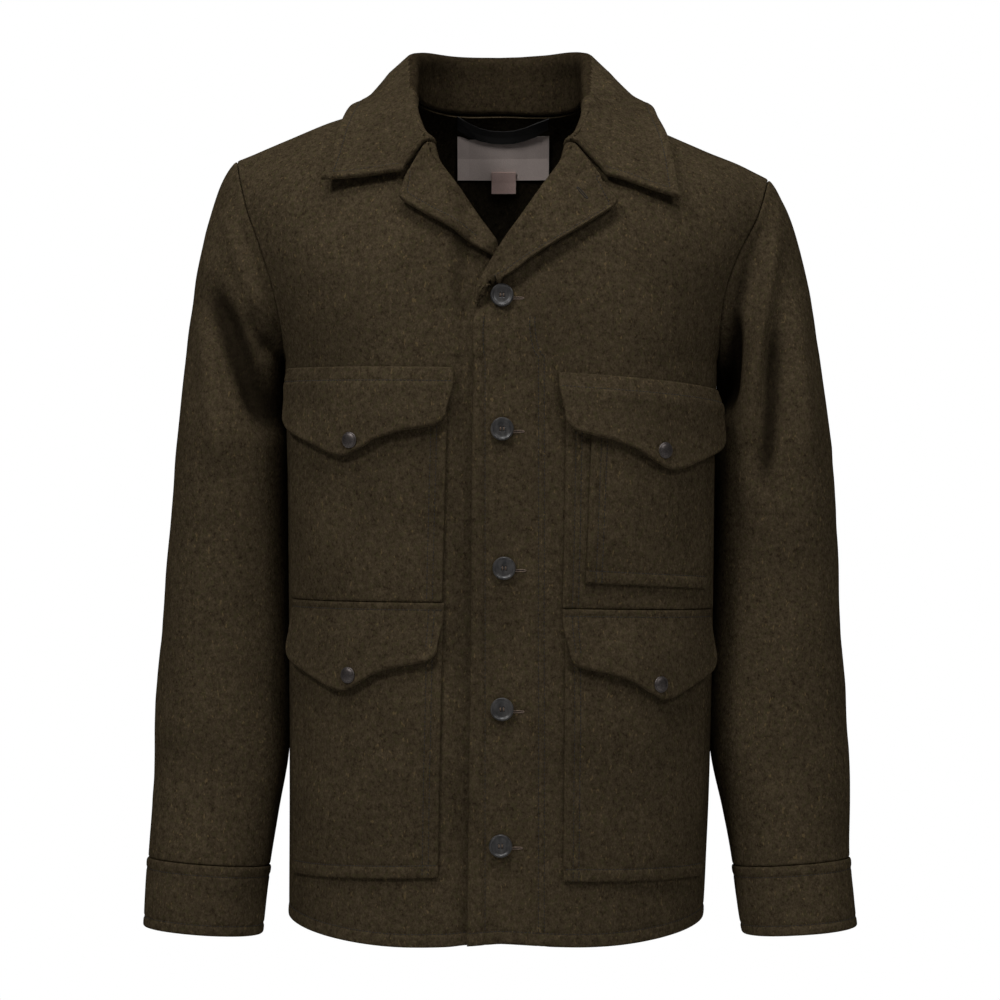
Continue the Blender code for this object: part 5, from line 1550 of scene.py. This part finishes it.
for number, button in enumerate(BUTTONS, 1):
    around = on_front([button.x, button.x + 0.006, button.x - 0.006, button.x, button.x],
                      [button.z, button.z, button.z, button.z + 0.006, button.z - 0.006], 0.0)
    axis = unit(np.cross(around[3] - around[4], around[2] - around[1]))
    axis = axis if axis[1] < 0 else -axis
    base = around.mean(axis=0) + 0.0005 * axis
    made = turned(f"button_{number}_horn", BUTTON_PROFILE, base, axis, HORN, four_holes)
    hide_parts(f"button_{number}")
    right = unit(np.cross([0.0, 0.0, 1.0], axis))
    rise = np.cross(axis, right)
    for k, side in enumerate((-1, 1)):
        t = np.linspace(-1, 1, 15)
        arch = 0.0024 + 0.0008 * (1 - t**4)
        for j, shift in enumerate((-0.00028, 0.00028)):
            line = (base + (side * HOLE_PLACE * 0.95 + shift) * right + (HOLE_PLACE * t)[:, None] * rise
                    + arch[:, None] * axis)
            made = tube(f"button_{number}_thread_{k}{j}", line, 0.00032, TAN_THREAD)
    turn = np.linspace(0, 2 * np.pi, 72, endpoint=False)
    hole_z = button.z - HOLE_BELOW
    ends = button.x + HOLE_BESIDE + np.array([0.0, HOLE_LENGTH])
    bend = np.sign(np.cos(turn)) * np.abs(np.cos(turn)) ** 0.35
    x = ends.mean() + HOLE_LENGTH / 2 * bend
    z = hole_z + 0.0008 * np.sin(turn)
    made = tube(f"buttonhole_{number}", on_front(x, z, 0.0001), 0.00050 * (1 + 0.12 * np.sin(18 * turn)),
                TAN_THREAD, closed=True)
    x = np.linspace(*ends, 30)
    # Painted shadow along the buttonhole's cut, sunk just under the cloth.
    made = tube(f"buttonhole_{number}_slit", on_front(x, hole_z + 0 * x, -0.0001), 0.00034, SLIT_PAINTED_SHADOW)

turn = np.linspace(0, 2 * np.pi, 60, endpoint=False)
along_hole = 0.0065 * np.sign(np.cos(turn)) * np.abs(np.cos(turn)) ** 0.4
x = LAPEL_HOLE[0] + 0.66 * along_hole + 0.0006 * np.sin(turn)
z = LAPEL_HOLE[1] - 0.75 * along_hole + 0.0006 * np.sin(turn)
made = tube("lapel_buttonhole", on_front(x, z, 0.0001, lapel_face), 0.00045, THREAD, closed=True)

# The snaps: four domed caps of dark metal, each pressed through its flap halfway along it and a
# little above its point.
SNAP_PROFILE = between([(0.0064, 0.0), (0.0069, 0.0004), (0.0070, 0.0009), (0.0067, 0.0014),
                        (0.0062, 0.0016), (0.0058, 0.0015), (0.0054, 0.0017), (0.0042, 0.0022),
                        (0.0026, 0.0025), (0.0002, 0.0026)], 4)
for name, (outer, up, down, place_s) in flaps.items():
    column = int(np.argmin(np.abs(place_s[0] - (place_s[0, 0] + place_s[0, -1]) / 2)))
    row = int(np.argmin(np.abs(down[:, column] - SNAP_DOWN)))
    snap = name.replace("flap", "snap")
    made = turned(snap + "_cap", SNAP_PROFILE, outer[row, column] + 0.0002 * up[row, column],
                  up[row, column], PEWTER)
    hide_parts(snap)

# Inside the back of the neck: a plain woven label with a narrow border, a small tab below it and
# a hanging loop of dark tape. They keep their solids' shapes and places; only their materials are set here.
LABEL = plain_material("woven label", (0.80, 0.66, 0.60), (0.92, 0.78, 0.72), 0.9, scale=1400.0, bump=0.4)
TAB = plain_material("woven tab", (0.66, 0.46, 0.41), (0.80, 0.58, 0.52), 0.9, scale=1400.0, bump=0.4)
TAPE = plain_material("dark tape", (0.006, 0.006, 0.006), (0.016, 0.014, 0.013), 0.9, scale=1200.0, bump=0.5)
for name, material in (("neck_label", LABEL), ("size_tab", TAB), ("hanger_loop", TAPE)):
    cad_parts[name].data.materials.clear()
    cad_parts[name].data.materials.append(material)
